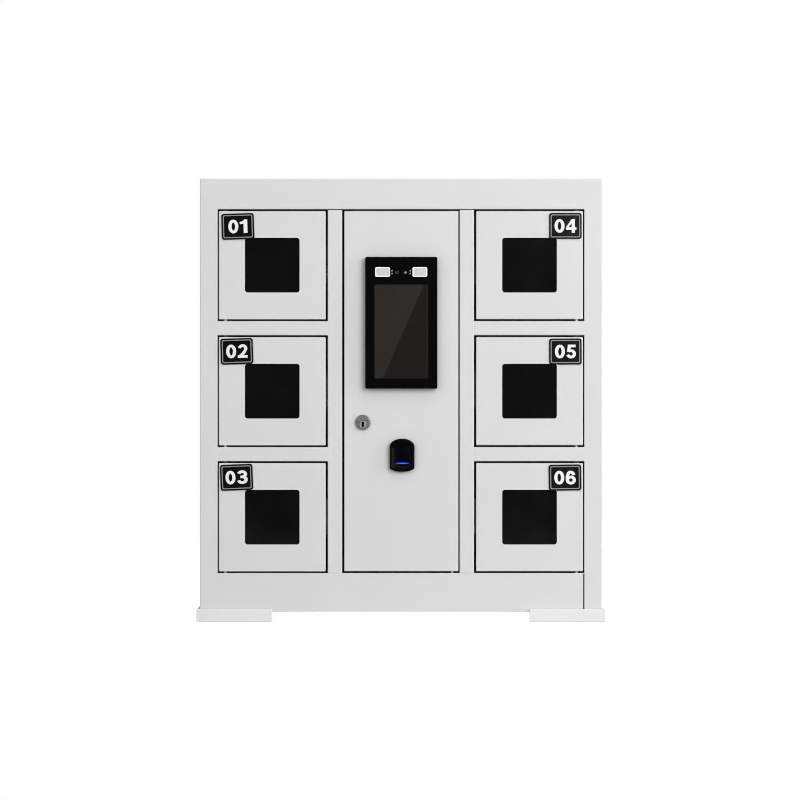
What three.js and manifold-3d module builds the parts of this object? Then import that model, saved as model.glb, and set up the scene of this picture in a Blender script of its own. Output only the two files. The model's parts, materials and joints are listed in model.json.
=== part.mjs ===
// A phone charging kiosk of folded sheet steel: two columns of three lockers, and between them a
// bay for the electronics behind a service door.
//
// Millimetres, +Z up. The front faces -Y. The origin is at the middle of the box round the whole
// kiosk, at its base. Inside the cabinet group, y is the depth behind the front plane, and a column
// is drawn with u, the distance outward from the middle, so that both columns share one drawing.

import * as THREE from "three";
import { mergeVertices } from "three/addons/utils/BufferGeometryUtils.js";
import Module from "manifold-3d";

const wasm = await Module();
wasm.setup();

// ---- Driving dimensions ----

const SHEET = 1.2; // steel thickness
const CLEAR = 0.3; // gap between pieces that touch
const PAST = 1; // how far a cut, or a piece to be joined, goes past the face that it meets

const WIDTH = 500; // body
const DEPTH = 200;
const HEIGHT = 551; // top of the roof above the surface that the feet stand on
const BASE = 12; // underside of the body

const POST = 22; // face of a front post
const JAMB = 18; // how far a post's inner return and the hinge flanges go back
const PARTITION = 18; // face of a partition, and its thickness
const TOP_FASCIA = 38;
const BOTTOM_FASCIA = 48.5;
const SHELF_FACE = 17.75;
const REAR_FLANGE = 12;
const SEAM = 1; // the base's face stops this much short of the right post

const ROWS = 3;
const GAP_HINGE = 1.5; // round the doors, at the hinge, lock, top and bottom edges
const GAP_LOCK = 2.5;
const GAP_END = 2.2;
const PAN = 15; // depth of a door pan

const DOOR_WIDTH = 133;
const SERVICE_WIDTH = 142;
const AXIS_IN = 8; // hinge axis from the door's outer edge
const AXIS_BACK = 4; // hinge axis behind the front plane
const ROD_R = 2;
const ROD_HOLE_R = 2.4;
const ROD_TAIL = 5; // how far a rod goes down into the base

const WINDOW = 68; // cut-out for the window
const WINDOW_R = 3.4;
const PANE_LAP = 5; // how far the pane laps the sheet behind the cut-out
const PANE = 3;

const PLATE = { width: 40.4, height: 32.3, corner: 3.2, thick: 1 };
// Where each plate is stuck: in from the door's hinge edge, down from its top edge, and its tilt.
const PLATES = [
  { inset: 3.6, drop: 3.0, tilt: 1.0 },
  { inset: 2.3, drop: 1.5, tilt: 1.0 },
  { inset: 2.0, drop: 1.5, tilt: 1.5 },
  { inset: 1.7, drop: 2.4, tilt: -0.7 },
  { inset: 1.7, drop: 1.8, tilt: -0.5 },
  { inset: 2.2, drop: 1.8, tilt: 0 },
];

const LOCK = { thick: 16, depth: 40, height: 44, front: 18 }; // electric lock's case
const MOUTH = { thick: 12, depth: 28, below: 5, above: 19.5 }; // its pocket, about the strike's level
const PIVOT = { depth: 40, above: 6 }; // the hook's pin, behind the front plane and above the strike
const PIN_R = 1.5;
const PIN_HOLE_R = 1.9;
const HOOK = { thick: 3, reach: 18.7, drop: 9, hub: 4.2, neck: 3, jaw: 5, tip: 3, grip: 4 };
const HOOK_LIFT = 30; // the turn, in degrees, that lets the door go
const STRIKE = { from: 99.9, width: 7, wire: 2, reach: 28 }; // from is u, reach is behind the front
const STRIKE_FOOT = { height: 18, rim: 0.2, weld: 0.5 }; // weld is how deep it sits in the sheet

const TERMINAL = { width: 89.6, height: 163.4, x: 0.5, z: 371.6, proud: 9, corner: 1.8, glass: 1.6 };
const TERMINAL_REAR = { width: 80, height: 152, depth: 22 }; // the part that goes through the door
const DISPLAY = { width: 66, height: 117, drop: 33.5, thick: 4, lap: 2, play: 1 };

const READER = { width: 31, height: 41.2, x: 1.5, z: 207.2, proud: 7, crown: 10, chin: 5.5 };
const READER_REAR = { width: 23, height: 30, depth: 16 };
const SENSOR = { width: 18, height: 23, depth: 3, thick: 2 };

const CAM_LOCK = { x: -47.2, z: 248.1, face: 9.5, proud: 3.5, barrel: 8.2, depth: 20 };
const PLUG = { r: 4.4, bore: 4.7, drop: 2.6, proud: 0.6, tail: 20.7 }; // set low in the face
const KEYWAY = { width: 1.8, height: 5.4, depth: 6 };
const CAM = { reach: 30, width: 10, hub: 7, front: 21, thick: 3 };
const CAM_SLOT = { below: 8, above: 18, front: 20, back: 25.5 }; // in the partition's wall

const FOOT = { width: 94, out: 4, lip: 4, wall: 3.7, root: 2 };

const STRIP = { width: 30, depth: 20, u: 170 }; // charging strip on the back wall
const OUTLET = { width: 15, height: 8, depth: 9 };
const SUPPLY = { width: 98, depth: 38, height: 199, z: 138 };
const BOARD = { width: 116, height: 160, thick: 1.6, z: 350, back: 12 };
const INLET = { width: 50, height: 62, z: 97, lap: 3, depth: 30, flange: 2.4, sunk: 0.2 };
const SOCKET = { width: 25, height: 17, depth: 16, z: 84 };

const KEYHOLE = { r: 5, neck: 2.6, rise: 14, x: 200, z: 486 };
const VENT = { width: 60, height: 4, pitch: 12, count: 7 };

// ---- Derived places ----

const FRONT = (TERMINAL.proud - DEPTH) / 2; // y of the front plane
const ROOM_BACK = DEPTH - SHEET - CLEAR; // where the side panels, roof and base end
const INNER_BACK = ROOM_BACK - SHEET - CLEAR; // where the shelves and partitions end
const HALF = WIDTH / 2;
const POST_IN = HALF - POST; // u of a post's inner edge
const INNER_WALL = HALF - SHEET; // u of the side wall's inner face

const OPEN_LOW = BASE + BOTTOM_FASCIA;
const OPEN_HIGH = HEIGHT - TOP_FASCIA;
const OPENING = (OPEN_HIGH - OPEN_LOW - (ROWS - 1) * SHELF_FACE) / ROWS;
const DOOR_HEIGHT = OPENING - 2 * GAP_END;
const SERVICE_HEIGHT = OPEN_HIGH - OPEN_LOW - 2 * GAP_END;

const DOOR_OUT = POST_IN - GAP_HINGE; // u of a locker door's hinge edge
const DOOR_IN = DOOR_OUT - DOOR_WIDTH;
const PART_OUT = DOOR_IN - GAP_LOCK; // u of the partition's locker side
const PART_IN = PART_OUT - PARTITION;
const HINGE_U = DOOR_OUT - AXIS_IN;
const SERVICE_OUT = PART_IN - GAP_HINGE; // x of the service door's hinge edge
const SERVICE_HINGE = SERVICE_OUT - AXIS_IN;

const plugZ = CAM_LOCK.z - PLUG.drop;
const rowLow = (row) => OPEN_HIGH - (row + 1) * OPENING - row * SHELF_FACE;
const doorMiddle = (row) => rowLow(row) + OPENING / 2;

// ---- Materials ----

const paint = (color, roughness, metalness = 0) =>
  new THREE.MeshStandardMaterial({ color, roughness, metalness });

const BODY_PAINT = paint(0xd8d8d8, 0.5);
const FOOT_PLASTIC = paint(0xf0f0ee, 0.6);
const SMOKED = paint(0x121212, 0.1);
const PLATE_BLACK = paint(0x0c0c0c, 0.35);
const ZINC = paint(0xb0b2b4, 0.35, 0.9);
const CHROME = paint(0x9a9a9c, 0.2, 1);
const BLACK_PLASTIC = paint(0x161616, 0.4);
const SCREEN = paint(0x2b2825, 0.2);
const SENSOR_GLASS = paint(0x101530, 0.1);
const CIRCUIT = paint(0x1d5b34, 0.5);
const WHITE_PLASTIC = paint(0xe6e6e2, 0.5);
const ALUMINIUM = paint(0xa8a9aa, 0.45, 0.8);

// ---- Solids ----

// A three.js geometry as a solid that can be joined and cut.
function solid(geometry) {
  geometry.deleteAttribute("normal");
  geometry.deleteAttribute("uv");
  const merged = mergeVertices(geometry, 1e-3);
  const vertProperties = merged.attributes.position.array;
  const triVerts = new Uint32Array(merged.index.array);
  return new wasm.Manifold(new wasm.Mesh({ numProp: 3, vertProperties, triVerts }));
}

const join = (...solids) => solids.reduce((sum, next) => sum.add(next));
const cut = (from, ...solids) => solids.reduce((rest, next) => rest.subtract(next), from);

// A block between two values on each axis, given in either order.
function block([xa, xb], [ya, yb], [za, zb]) {
  const size = [xb - xa, yb - ya, zb - za].map(Math.abs);
  const middle = [xa + xb, ya + yb, za + zb].map((sum) => sum / 2);
  return solid(new THREE.BoxGeometry(...size).translate(...middle));
}

const about = (middle, size) => [middle - size / 2, middle + size / 2];

// An outline of [x, y] points, drawn upward between two heights.
function upright(points, low, high) {
  const shape = new THREE.Shape(points.map(([x, y]) => new THREE.Vector2(x, y)));
  const options = { depth: high - low, bevelEnabled: false };
  return solid(new THREE.ExtrudeGeometry(shape, options).translate(0, 0, low));
}

// A shape in x and z, drawn backward between two depths.
function backward(shape, near, far, curveSegments = 4) {
  const options = { depth: far - near, bevelEnabled: false, curveSegments };
  const geometry = new THREE.ExtrudeGeometry(shape, options);
  return solid(geometry.rotateX(Math.PI / 2).translate(0, far, 0));
}

// A shape in depth and height, drawn along x between two values.
function sideways(points, xa, xb) {
  const shape = new THREE.Shape(points.map(([y, z]) => new THREE.Vector2(y, z)));
  const options = { depth: Math.abs(xb - xa), bevelEnabled: false };
  const axes = new THREE.Matrix4().makeBasis(
    new THREE.Vector3(0, 1, 0),
    new THREE.Vector3(0, 0, 1),
    new THREE.Vector3(1, 0, 0),
  );
  const geometry = new THREE.ExtrudeGeometry(shape, options).applyMatrix4(axes);
  return solid(geometry.translate(Math.min(xa, xb), 0, 0));
}

function roundedRectangle(x, z, width, height, r) {
  const [left, right] = about(x, width);
  const [low, high] = about(z, height);
  const shape = new THREE.Shape();
  shape.moveTo(left + r, low);
  shape.absarc(right - r, low + r, r, -Math.PI / 2, 0);
  shape.absarc(right - r, high - r, r, 0, Math.PI / 2);
  shape.absarc(left + r, high - r, r, Math.PI / 2, Math.PI);
  shape.absarc(left + r, low + r, r, Math.PI, 1.5 * Math.PI);
  return shape;
}

function round(x, z, r) {
  return new THREE.Shape().absarc(x, z, r, 0, 2 * Math.PI);
}

// A cylinder standing on z = low.
function post(x, y, r, low, high, sides = 12) {
  const geometry = new THREE.CylinderGeometry(r, r, high - low, sides);
  return solid(geometry.rotateX(Math.PI / 2).translate(x, y, (low + high) / 2));
}

// A cylinder along x.
function pin(y, z, r, xa, xb, sides = 12) {
  const geometry = new THREE.CylinderGeometry(r, r, Math.abs(xb - xa), sides);
  return solid(geometry.rotateZ(Math.PI / 2).translate((xa + xb) / 2, y, z));
}

// ---- The scene graph ----

const kiosk = new THREE.Group();
const cabinet = new THREE.Group();
cabinet.position.y = FRONT;
kiosk.add(cabinet);

function place(name, made, material, parent = cabinet) {
  const { vertProperties, triVerts } = made.getMesh();
  const geometry = new THREE.BufferGeometry();
  geometry.setAttribute("position", new THREE.BufferAttribute(vertProperties, 3));
  geometry.setIndex(new THREE.BufferAttribute(triVerts, 1));
  geometry.computeVertexNormals();
  const mesh = new THREE.Mesh(geometry, material);
  mesh.name = name;
  parent.add(mesh);
  return mesh;
}

function group(x, y, z, parent = cabinet) {
  const made = new THREE.Group();
  made.position.set(x, y, z);
  parent.add(made);
  return made;
}

const SIDES = [
  { word: "left", sign: -1 },
  { word: "right", sign: 1 },
];

// ---- Cabinet ----

// The roof and the base: a sheet between the side walls, notched round the posts.
function fullSheet(low, high) {
  const behind = SHEET + CLEAR;
  const edge = POST_IN - CLEAR;
  const outline = [
    [-edge, 0],
    [edge, 0],
    [edge, behind],
    [INNER_WALL - CLEAR, behind],
    [INNER_WALL - CLEAR, ROOM_BACK],
    [CLEAR - INNER_WALL, ROOM_BACK],
    [CLEAR - INNER_WALL, behind],
    [-edge, behind],
  ];
  return upright(outline, low, high);
}

const rodHoles = (low, high, ...xs) =>
  xs.map((x) => post(x, AXIS_BACK, ROD_HOLE_R, low, high));
const ALL_RODS = [-HINGE_U, HINGE_U, SERVICE_HINGE];

function topPanel() {
  const edge = POST_IN - CLEAR;
  const fascia = block([-edge, edge], [0, SHEET], [OPEN_HIGH, HEIGHT]);
  const flange = block([-edge, edge], [0, JAMB], [OPEN_HIGH, OPEN_HIGH + SHEET]);
  const panel = join(fullSheet(HEIGHT - SHEET, HEIGHT), fascia, flange);
  return cut(panel, ...rodHoles(OPEN_HIGH - PAST, OPEN_HIGH + SHEET + PAST, ...ALL_RODS));
}

function bottomPanel() {
  const edge = POST_IN - CLEAR;
  const wall = INNER_WALL - CLEAR;
  const fascia = block([-edge, edge - SEAM], [0, SHEET], [BASE, OPEN_LOW]);
  const lip = block([-edge, edge], [0, JAMB + 2 * CLEAR], [OPEN_LOW - SHEET, OPEN_LOW]);
  const floor = block([-wall, wall], [JAMB + CLEAR, INNER_BACK], [OPEN_LOW - SHEET, OPEN_LOW]);
  const panel = join(fullSheet(BASE, BASE + SHEET), fascia, lip, floor);
  return cut(panel, ...rodHoles(OPEN_LOW - SHEET - PAST, OPEN_LOW + PAST, ...ALL_RODS));
}

// A post, side wall and rear flange in one folding, open to the inside.
function sidePanel(sign) {
  const wall = HALF - SHEET;
  const jambOut = POST_IN + SHEET;
  const outline = [
    [HALF, 0],
    [POST_IN, 0],
    [POST_IN, JAMB],
    [jambOut, JAMB],
    [jambOut, SHEET],
    [wall, SHEET],
    [wall, ROOM_BACK - SHEET],
    [HALF - REAR_FLANGE, ROOM_BACK - SHEET],
    [HALF - REAR_FLANGE, ROOM_BACK],
    [HALF, ROOM_BACK],
  ].map(([u, y]) => [sign * u, y]);
  const inside = [sign * wall, sign * (POST_IN - PAST)];
  const behind = [SHEET, DEPTH];
  const roofRoom = block(inside, behind, [HEIGHT - SHEET - CLEAR, HEIGHT + PAST]);
  const baseRoom = block(inside, behind, [BASE - PAST, BASE + SHEET + CLEAR]);
  return cut(upright(outline, BASE, HEIGHT), roofRoom, baseRoom);
}

// A channel, open at the back, whose face shows between the columns.
function partition(sign) {
  const outline = [
    [PART_OUT, 0],
    [PART_IN, 0],
    [PART_IN, INNER_BACK],
    [PART_IN + SHEET, INNER_BACK],
    [PART_IN + SHEET, SHEET],
    [PART_OUT - SHEET, SHEET],
    [PART_OUT - SHEET, INNER_BACK],
    [PART_OUT, INNER_BACK],
  ].map(([u, y]) => [sign * u, y]);
  const channel = upright(outline, OPEN_LOW + CLEAR, HEIGHT - SHEET - CLEAR);
  const across = [sign * (PART_IN - PAST), sign * (PART_OUT + PAST)];
  const fasciaRoom = block(across, [-PAST, JAMB + CLEAR], [OPEN_HIGH - 1, HEIGHT]);
  return cut(channel, fasciaRoom);
}

function camSlot(sign) {
  const { front, back, below, above } = CAM_SLOT;
  const through = [sign * (PART_IN - PAST), sign * (PART_IN + SHEET + PAST)];
  return block(through, [front, back], [plugZ - below, plugZ + above]);
}

// A shelf and the face below it, between two lockers. Its top is the upper locker's floor.
function shelf(sign, row) {
  const top = rowLow(row);
  const low = top - SHELF_FACE;
  const near = PART_OUT + CLEAR;
  const edge = POST_IN - CLEAR;
  const wall = INNER_WALL - CLEAR;
  const [stripIn, stripOut] = about(STRIP.u, STRIP.width + 4 * CLEAR);
  const stripFront = ROOM_BACK - STRIP.depth - 2 * CLEAR;
  const outline = [
    [near, 0],
    [edge, 0],
    [edge, JAMB + CLEAR],
    [wall, JAMB + CLEAR],
    [wall, INNER_BACK],
    [stripOut, INNER_BACK],
    [stripOut, stripFront],
    [stripIn, stripFront],
    [stripIn, INNER_BACK],
    [near, INNER_BACK],
  ].map(([u, y]) => [sign * u, y]);
  const across = [sign * near, sign * edge];
  const face = block(across, [0, SHEET], [low, top]);
  const flange = block(across, [0, JAMB], [low, low + SHEET]);
  const made = join(upright(outline, top - SHEET, top), face, flange);
  return cut(made, ...rodHoles(low - PAST, top + PAST, sign * HINGE_U));
}

function backPanel() {
  const panel = block([-HALF, HALF], [DEPTH - SHEET, DEPTH], [BASE, HEIGHT]);
  const near = DEPTH - SHEET - PAST;
  const far = DEPTH + PAST;
  const opening = (x, z, width, height) =>
    block(about(x, width), [near, far], about(z, height));
  const holes = [opening(0, INLET.z, INLET.width + 2 * CLEAR, INLET.height + 2 * CLEAR)];
  for (const sign of [-1, 1]) {
    const x = sign * KEYHOLE.x;
    holes.push(backward(round(x, KEYHOLE.z, KEYHOLE.r), near, far));
    holes.push(opening(x, KEYHOLE.z + KEYHOLE.rise / 2, 2 * KEYHOLE.neck, KEYHOLE.rise));
  }
  for (let i = 0; i < VENT.count; i += 1) {
    const middle = BOARD.z + BOARD.height / 2 + (i - (VENT.count - 1) / 2) * VENT.pitch;
    holes.push(opening(0, middle, VENT.width, VENT.height));
  }
  return cut(panel, ...holes);
}

// A rod that carries the doors of one opening. It hangs from its top end, which is bent backward.
function hingeRod() {
  const low = OPEN_LOW - ROD_TAIL;
  const bend = OPEN_HIGH + SHEET + CLEAR;
  const thick = 2 * ROD_R - 1;
  const leg = block(about(0, thick), [0, 3 * thick], [bend, bend + thick]);
  return join(post(0, 0, ROD_R, low, bend + thick), leg);
}

// A shoe under one side of the body, with a lip round the body's lower edge.
function foot(sign) {
  const out = HALF + FOOT.out;
  const across = [sign * (out - FOOT.width), sign * out];
  const tread = block(across, [-FOOT.out, DEPTH], [0, BASE - CLEAR]);
  const lip = [BASE - FOOT.root, BASE + FOOT.lip];
  const frontLip = block(across, [-FOOT.out, FOOT.wall - FOOT.out], lip);
  const sideLip = block([sign * (out - FOOT.wall), sign * out], [-FOOT.out, DEPTH], lip);
  return join(tread, frontLip, sideLip);
}

place("back_panel", backPanel(), BODY_PAINT);
place("top_panel", topPanel(), BODY_PAINT);
place("bottom_panel", bottomPanel(), BODY_PAINT);
for (const { word, sign } of SIDES) {
  place(`${word}_side_panel`, sidePanel(sign), BODY_PAINT);
  const wall = sign < 0 ? cut(partition(sign), camSlot(sign)) : partition(sign);
  place(`${word}_partition`, wall, BODY_PAINT);
  place(`shelf_upper_${word}`, shelf(sign, 0), BODY_PAINT);
  place(`shelf_lower_${word}`, shelf(sign, 1), BODY_PAINT);
  place(`${word}_foot`, foot(sign), FOOT_PLASTIC);
  place(`hinge_rod_${word}`, hingeRod(), ZINC, group(sign * HINGE_U, AXIS_BACK, 0));
}
place("hinge_rod_service", hingeRod(), ZINC, group(SERVICE_HINGE, AXIS_BACK, 0));

// ---- Doors. Their groups are at the hinge axis; toward is the x direction of the free edge. ----

function pan(toward, width, height) {
  const front = -AXIS_BACK;
  const edge = [-toward * AXIS_IN, toward * (width - AXIS_IN)];
  const inner = [toward * (SHEET - AXIS_IN), toward * (width - AXIS_IN - SHEET)];
  const outside = block(edge, [front, front + PAN], [0, height]);
  const inside = block(inner, [front + SHEET, front + PAN + PAST], [SHEET, height - SHEET]);
  return cut(outside, inside, post(0, 0, ROD_HOLE_R, -PAST, height + PAST));
}

// A wire loop on a spot-welded foot. It reaches into the lock's mouth.
function strike(toward, z) {
  const sheet = SHEET - AXIS_BACK;
  const root = sheet - STRIKE_FOOT.weld;
  const middle = toward * (HINGE_U - STRIKE.from);
  const far = STRIKE.reach - AXIS_BACK;
  const level = about(z, STRIKE.wire);
  const legs = [-1, 1].map((end) =>
    block(about(middle + (end * STRIKE.width) / 2, STRIKE.wire), [root, far], level),
  );
  const width = STRIKE.width + STRIKE.wire;
  const bar = block(about(middle, width), [far - STRIKE.wire, far], level);
  const foot = about(middle, width + 2 * STRIKE_FOOT.rim);
  const base = block(foot, [root, sheet + SHEET], about(z, STRIKE_FOOT.height));
  return join(base, bar, ...legs);
}

function lockerDoor(toward) {
  const x = toward * (DOOR_WIDTH / 2 - AXIS_IN);
  const middle = DOOR_HEIGHT / 2;
  const hole = roundedRectangle(x, middle, WINDOW, WINDOW, WINDOW_R);
  const made = cut(pan(toward, DOOR_WIDTH, DOOR_HEIGHT), backward(hole, -AXIS_BACK - PAST, SHEET));
  return join(made, strike(toward, middle));
}

function windowPane(toward) {
  const size = WINDOW + 2 * PANE_LAP;
  const near = SHEET + CLEAR - AXIS_BACK;
  const x = toward * (DOOR_WIDTH / 2 - AXIS_IN);
  return block(about(x, size), [near, near + PANE], about(DOOR_HEIGHT / 2, size));
}

function numberPlate() {
  const outline = roundedRectangle(0, 0, PLATE.width, PLATE.height, PLATE.corner);
  return backward(outline, -PLATE.thick, 0);
}

// ---- Electric locks, on the partitions ----

function lockBody(sign) {
  const thick = [sign * (PART_OUT + CLEAR), sign * (PART_OUT + CLEAR + LOCK.thick)];
  const wall = (LOCK.thick - MOUTH.thick) / 2;
  const open = [thick[0] + sign * wall, thick[1] - sign * wall];
  const shell = block(thick, [LOCK.front, LOCK.front + LOCK.depth], about(0, LOCK.height));
  const inward = [LOCK.front - PAST, LOCK.front + MOUTH.depth];
  const mouth = block(open, inward, [-MOUTH.below, MOUTH.above]);
  const through = [sign * PART_OUT, thick[1] + sign * PAST];
  return cut(shell, mouth, pin(PIVOT.depth, PIVOT.above, PIN_HOLE_R, ...through));
}

// The hook about its pin, drawn as it holds the strike. It is raised to let the door go.
function lockHook(sign) {
  const nose = -HOOK.reach;
  const grip = nose + HOOK.grip;
  const steps = 6;
  const [start, sweep] = [-0.7 * Math.PI, 1.2 * Math.PI]; // the hub's free side
  const hub = [];
  for (let step = 0; step <= steps; step += 1) {
    const angle = start + (step / steps) * sweep;
    hub.push([HOOK.hub * Math.cos(angle), HOOK.hub * Math.sin(angle)]);
  }
  const outline = [
    [nose, HOOK.neck],
    [nose, -HOOK.jaw],
    [nose + HOOK.tip, -HOOK.drop],
    [grip, -HOOK.drop],
    [grip, -HOOK.neck],
    ...hub,
  ];
  const plate = sideways(outline, ...about(sign * STRIKE.from, HOOK.thick));
  const ends = [sign * (PART_OUT + 2 * CLEAR), sign * (PART_OUT + LOCK.thick)];
  return join(plate, pin(0, 0, PIN_R, ...ends));
}

for (const { sign } of SIDES) {
  const toward = -sign;
  for (let row = 0; row < ROWS; row += 1) {
    const number = row + 1 + (sign > 0 ? ROWS : 0);
    const id = `0${number}`;
    const hinge = group(sign * HINGE_U, AXIS_BACK, rowLow(row) + GAP_END);
    place(`door_${id}`, lockerDoor(toward), BODY_PAINT, hinge);
    place(`window_${id}`, windowPane(toward), SMOKED, hinge);

    const { inset, drop, tilt } = PLATES[number - 1];
    const plate = place(`number_plate_${id}`, numberPlate(), PLATE_BLACK, hinge);
    const plateX = toward * (inset + PLATE.width / 2 - AXIS_IN);
    plate.position.set(plateX, -AXIS_BACK - CLEAR, DOOR_HEIGHT - drop - PLATE.height / 2);
    plate.rotation.y = THREE.MathUtils.degToRad(-tilt);

    const lock = group(0, 0, doorMiddle(row));
    place(`lock_body_${id}`, lockBody(sign), ZINC, lock);
    const hook = place(`lock_hook_${id}`, lockHook(sign), ZINC, lock);
    hook.position.set(0, PIVOT.depth, PIVOT.above);
    hook.rotation.x = THREE.MathUtils.degToRad(-HOOK_LIFT);
  }
}

// ---- Service door, drawn in the cabinet's own coordinates ----

function serviceDoor() {
  const hung = pan(-1, SERVICE_WIDTH, SERVICE_HEIGHT);
  const made = hung.translate([SERVICE_HINGE, AXIS_BACK, OPEN_LOW + GAP_END]);
  const near = -PAST;
  const far = SHEET + PAST;
  const loose = 2 * CLEAR;
  const { x, z } = TERMINAL;
  const terminal = block(
    about(x, TERMINAL_REAR.width + loose),
    [near, far],
    about(z, TERMINAL_REAR.height + loose),
  );
  const reader = block(
    about(READER.x, READER_REAR.width + loose),
    [near, far],
    about(READER.z, READER_REAR.height + loose),
  );
  const lock = backward(round(CAM_LOCK.x, CAM_LOCK.z, CAM_LOCK.barrel + CLEAR), near, far, 20);
  return cut(made, terminal, reader, lock);
}

// ---- Terminal ----

function terminalOutline() {
  const { x, z, width, height, corner } = TERMINAL;
  return roundedRectangle(x, z, width, height, corner);
}

const displayTop = TERMINAL.z + TERMINAL.height / 2 - DISPLAY.drop;
const displayMiddle = displayTop - DISPLAY.height / 2;
const displayWidth = DISPLAY.width + 2 * DISPLAY.lap;
const displayHeight = DISPLAY.height + 2 * DISPLAY.lap;
const glassBack = TERMINAL.glass - TERMINAL.proud;

function terminalHousing() {
  const { x, z } = TERMINAL;
  const face = backward(terminalOutline(), glassBack + CLEAR, -CLEAR);
  const rear = block(
    about(x, TERMINAL_REAR.width),
    [-CLEAR - PAST, TERMINAL_REAR.depth],
    about(z, TERMINAL_REAR.height),
  );
  const room = 3 * CLEAR + DISPLAY.thick;
  const pocket = block(
    about(x, displayWidth + 2 * DISPLAY.play),
    [glassBack - PAST, glassBack + CLEAR + room],
    about(displayMiddle, displayHeight + 2 * DISPLAY.play),
  );
  return cut(join(face, rear), pocket);
}

function terminalDisplay() {
  const near = glassBack + 2 * CLEAR;
  return block(
    about(TERMINAL.x, displayWidth),
    [near, near + DISPLAY.thick],
    about(displayMiddle, displayHeight),
  );
}

// ---- Fingerprint reader ----

// A shape with an arched top and a flatter arched foot.
function readerOutline() {
  const half = READER.width / 2;
  const crownZ = READER.z + READER.height / 2 - READER.crown;
  const chinZ = READER.z - READER.height / 2 + READER.chin;
  const shape = new THREE.Shape();
  shape.absellipse(READER.x, crownZ, half, READER.crown, 0, Math.PI);
  shape.absellipse(READER.x, chinZ, half, READER.chin, Math.PI, 2 * Math.PI);
  return shape;
}

function readerHousing() {
  const face = backward(readerOutline(), -READER.proud, -CLEAR, 10);
  const rear = block(
    about(READER.x, READER_REAR.width),
    [-CLEAR - PAST, READER_REAR.depth],
    about(READER.z, READER_REAR.height),
  );
  const recess = block(
    about(READER.x, SENSOR.width + 2 * CLEAR),
    [-READER.proud - PAST, SENSOR.depth + CLEAR - READER.proud],
    about(READER.z, SENSOR.height + 2 * CLEAR),
  );
  return cut(join(face, rear), recess);
}

function readerSensor() {
  const back = SENSOR.depth - READER.proud;
  return block(
    about(READER.x, SENSOR.width),
    [back - SENSOR.thick, back],
    about(READER.z, SENSOR.height),
  );
}

// ---- Cam lock ----

function camLockBody() {
  const { x, z, face, proud, barrel, depth } = CAM_LOCK;
  const flange = backward(round(x, z, face), -proud - CLEAR, -CLEAR, 20);
  const tube = backward(round(x, z, barrel), -CLEAR - PAST, depth, 20);
  const bore = backward(round(x, plugZ, PLUG.bore), -proud - CLEAR - PAST, depth + PAST, 12);
  return cut(join(flange, tube), bore);
}

function camLockPlug() {
  const near = -CAM_LOCK.proud - CLEAR - PLUG.proud;
  const body = backward(round(CAM_LOCK.x, plugZ, PLUG.r), near, PLUG.tail, 12);
  const { width, height, depth } = KEYWAY;
  const keyway = block(about(CAM_LOCK.x, width), [near - PAST, near + depth], about(plugZ, height));
  return cut(body, keyway);
}

// The cam points up when the service door is free to open.
function camLockCam() {
  const { x } = CAM_LOCK;
  const { reach, width, hub, front, thick } = CAM;
  const arm = block(about(x, width), [front, front + thick], [plugZ, plugZ + reach]);
  return join(arm, backward(round(x, plugZ, hub), front, front + thick, 12));
}

place("service_door", serviceDoor(), BODY_PAINT);
place("terminal_housing", terminalHousing(), BLACK_PLASTIC);
place("terminal_glass", backward(terminalOutline(), -TERMINAL.proud, glassBack), SMOKED);
place("terminal_display", terminalDisplay(), SCREEN);
place("fingerprint_housing", readerHousing(), BLACK_PLASTIC);
place("fingerprint_window", readerSensor(), SENSOR_GLASS);
place("cam_lock_body", camLockBody(), CHROME);
place("cam_lock_plug", camLockPlug(), CHROME);
place("cam_lock_cam", camLockCam(), ZINC);

// ---- Electronics ----

// A trunking on the back wall, with an outlet at the middle of each locker.
function chargingStrip(sign) {
  const front = ROOM_BACK - STRIP.depth;
  const x = sign * STRIP.u;
  const made = block(about(x, STRIP.width), [front, ROOM_BACK], [OPEN_LOW + CLEAR, OPEN_HIGH]);
  const inward = [front - PAST, front + OUTLET.depth];
  const outlets = [0, 1, 2].map((row) =>
    block(about(x, OUTLET.width), inward, about(doorMiddle(row), OUTLET.height)),
  );
  return cut(made, ...outlets);
}

// The mains inlet, held behind the back panel and level with it.
function powerInlet() {
  const { width, height, z, lap, depth, flange, sunk } = INLET;
  const inner = DEPTH - SHEET - CLEAR;
  const rim = block(about(0, width + 2 * lap), [inner - flange, inner], about(z, height + 2 * lap));
  const core = block(about(0, width), [DEPTH - depth, DEPTH - sunk], about(z, height));
  const socket = block(
    about(0, SOCKET.width),
    [DEPTH - SOCKET.depth, DEPTH + PAST],
    about(SOCKET.z, SOCKET.height),
  );
  return cut(join(rim, core), socket);
}

for (const { word, sign } of SIDES) {
  place(`charging_strip_${word}`, chargingStrip(sign), WHITE_PLASTIC);
}

// A flat box in the service bay, standing off the back by some distance.
function boxed({ width, height, z }, thick, off) {
  const back = ROOM_BACK - off;
  return block(about(0, width), [back - thick, back], [z, z + height]);
}

place("power_supply", boxed(SUPPLY, SUPPLY.depth, CLEAR), ALUMINIUM);
place("control_board", boxed(BOARD, BOARD.thick, BOARD.back), CIRCUIT);
place("power_inlet", powerInlet(), BLACK_PLASTIC);

export default kiosk;
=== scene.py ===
"""A phone charging kiosk of folded sheet steel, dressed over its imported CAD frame. Metres, +Z up,
front towards -Y. Sheet parts are rounded copies of their CAD nodes; small pieces are built here."""

import json
import math

import bmesh
import bpy
from mathutils import Matrix, Vector
from mathutils.geometry import delaunay_2d_cdt


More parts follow.
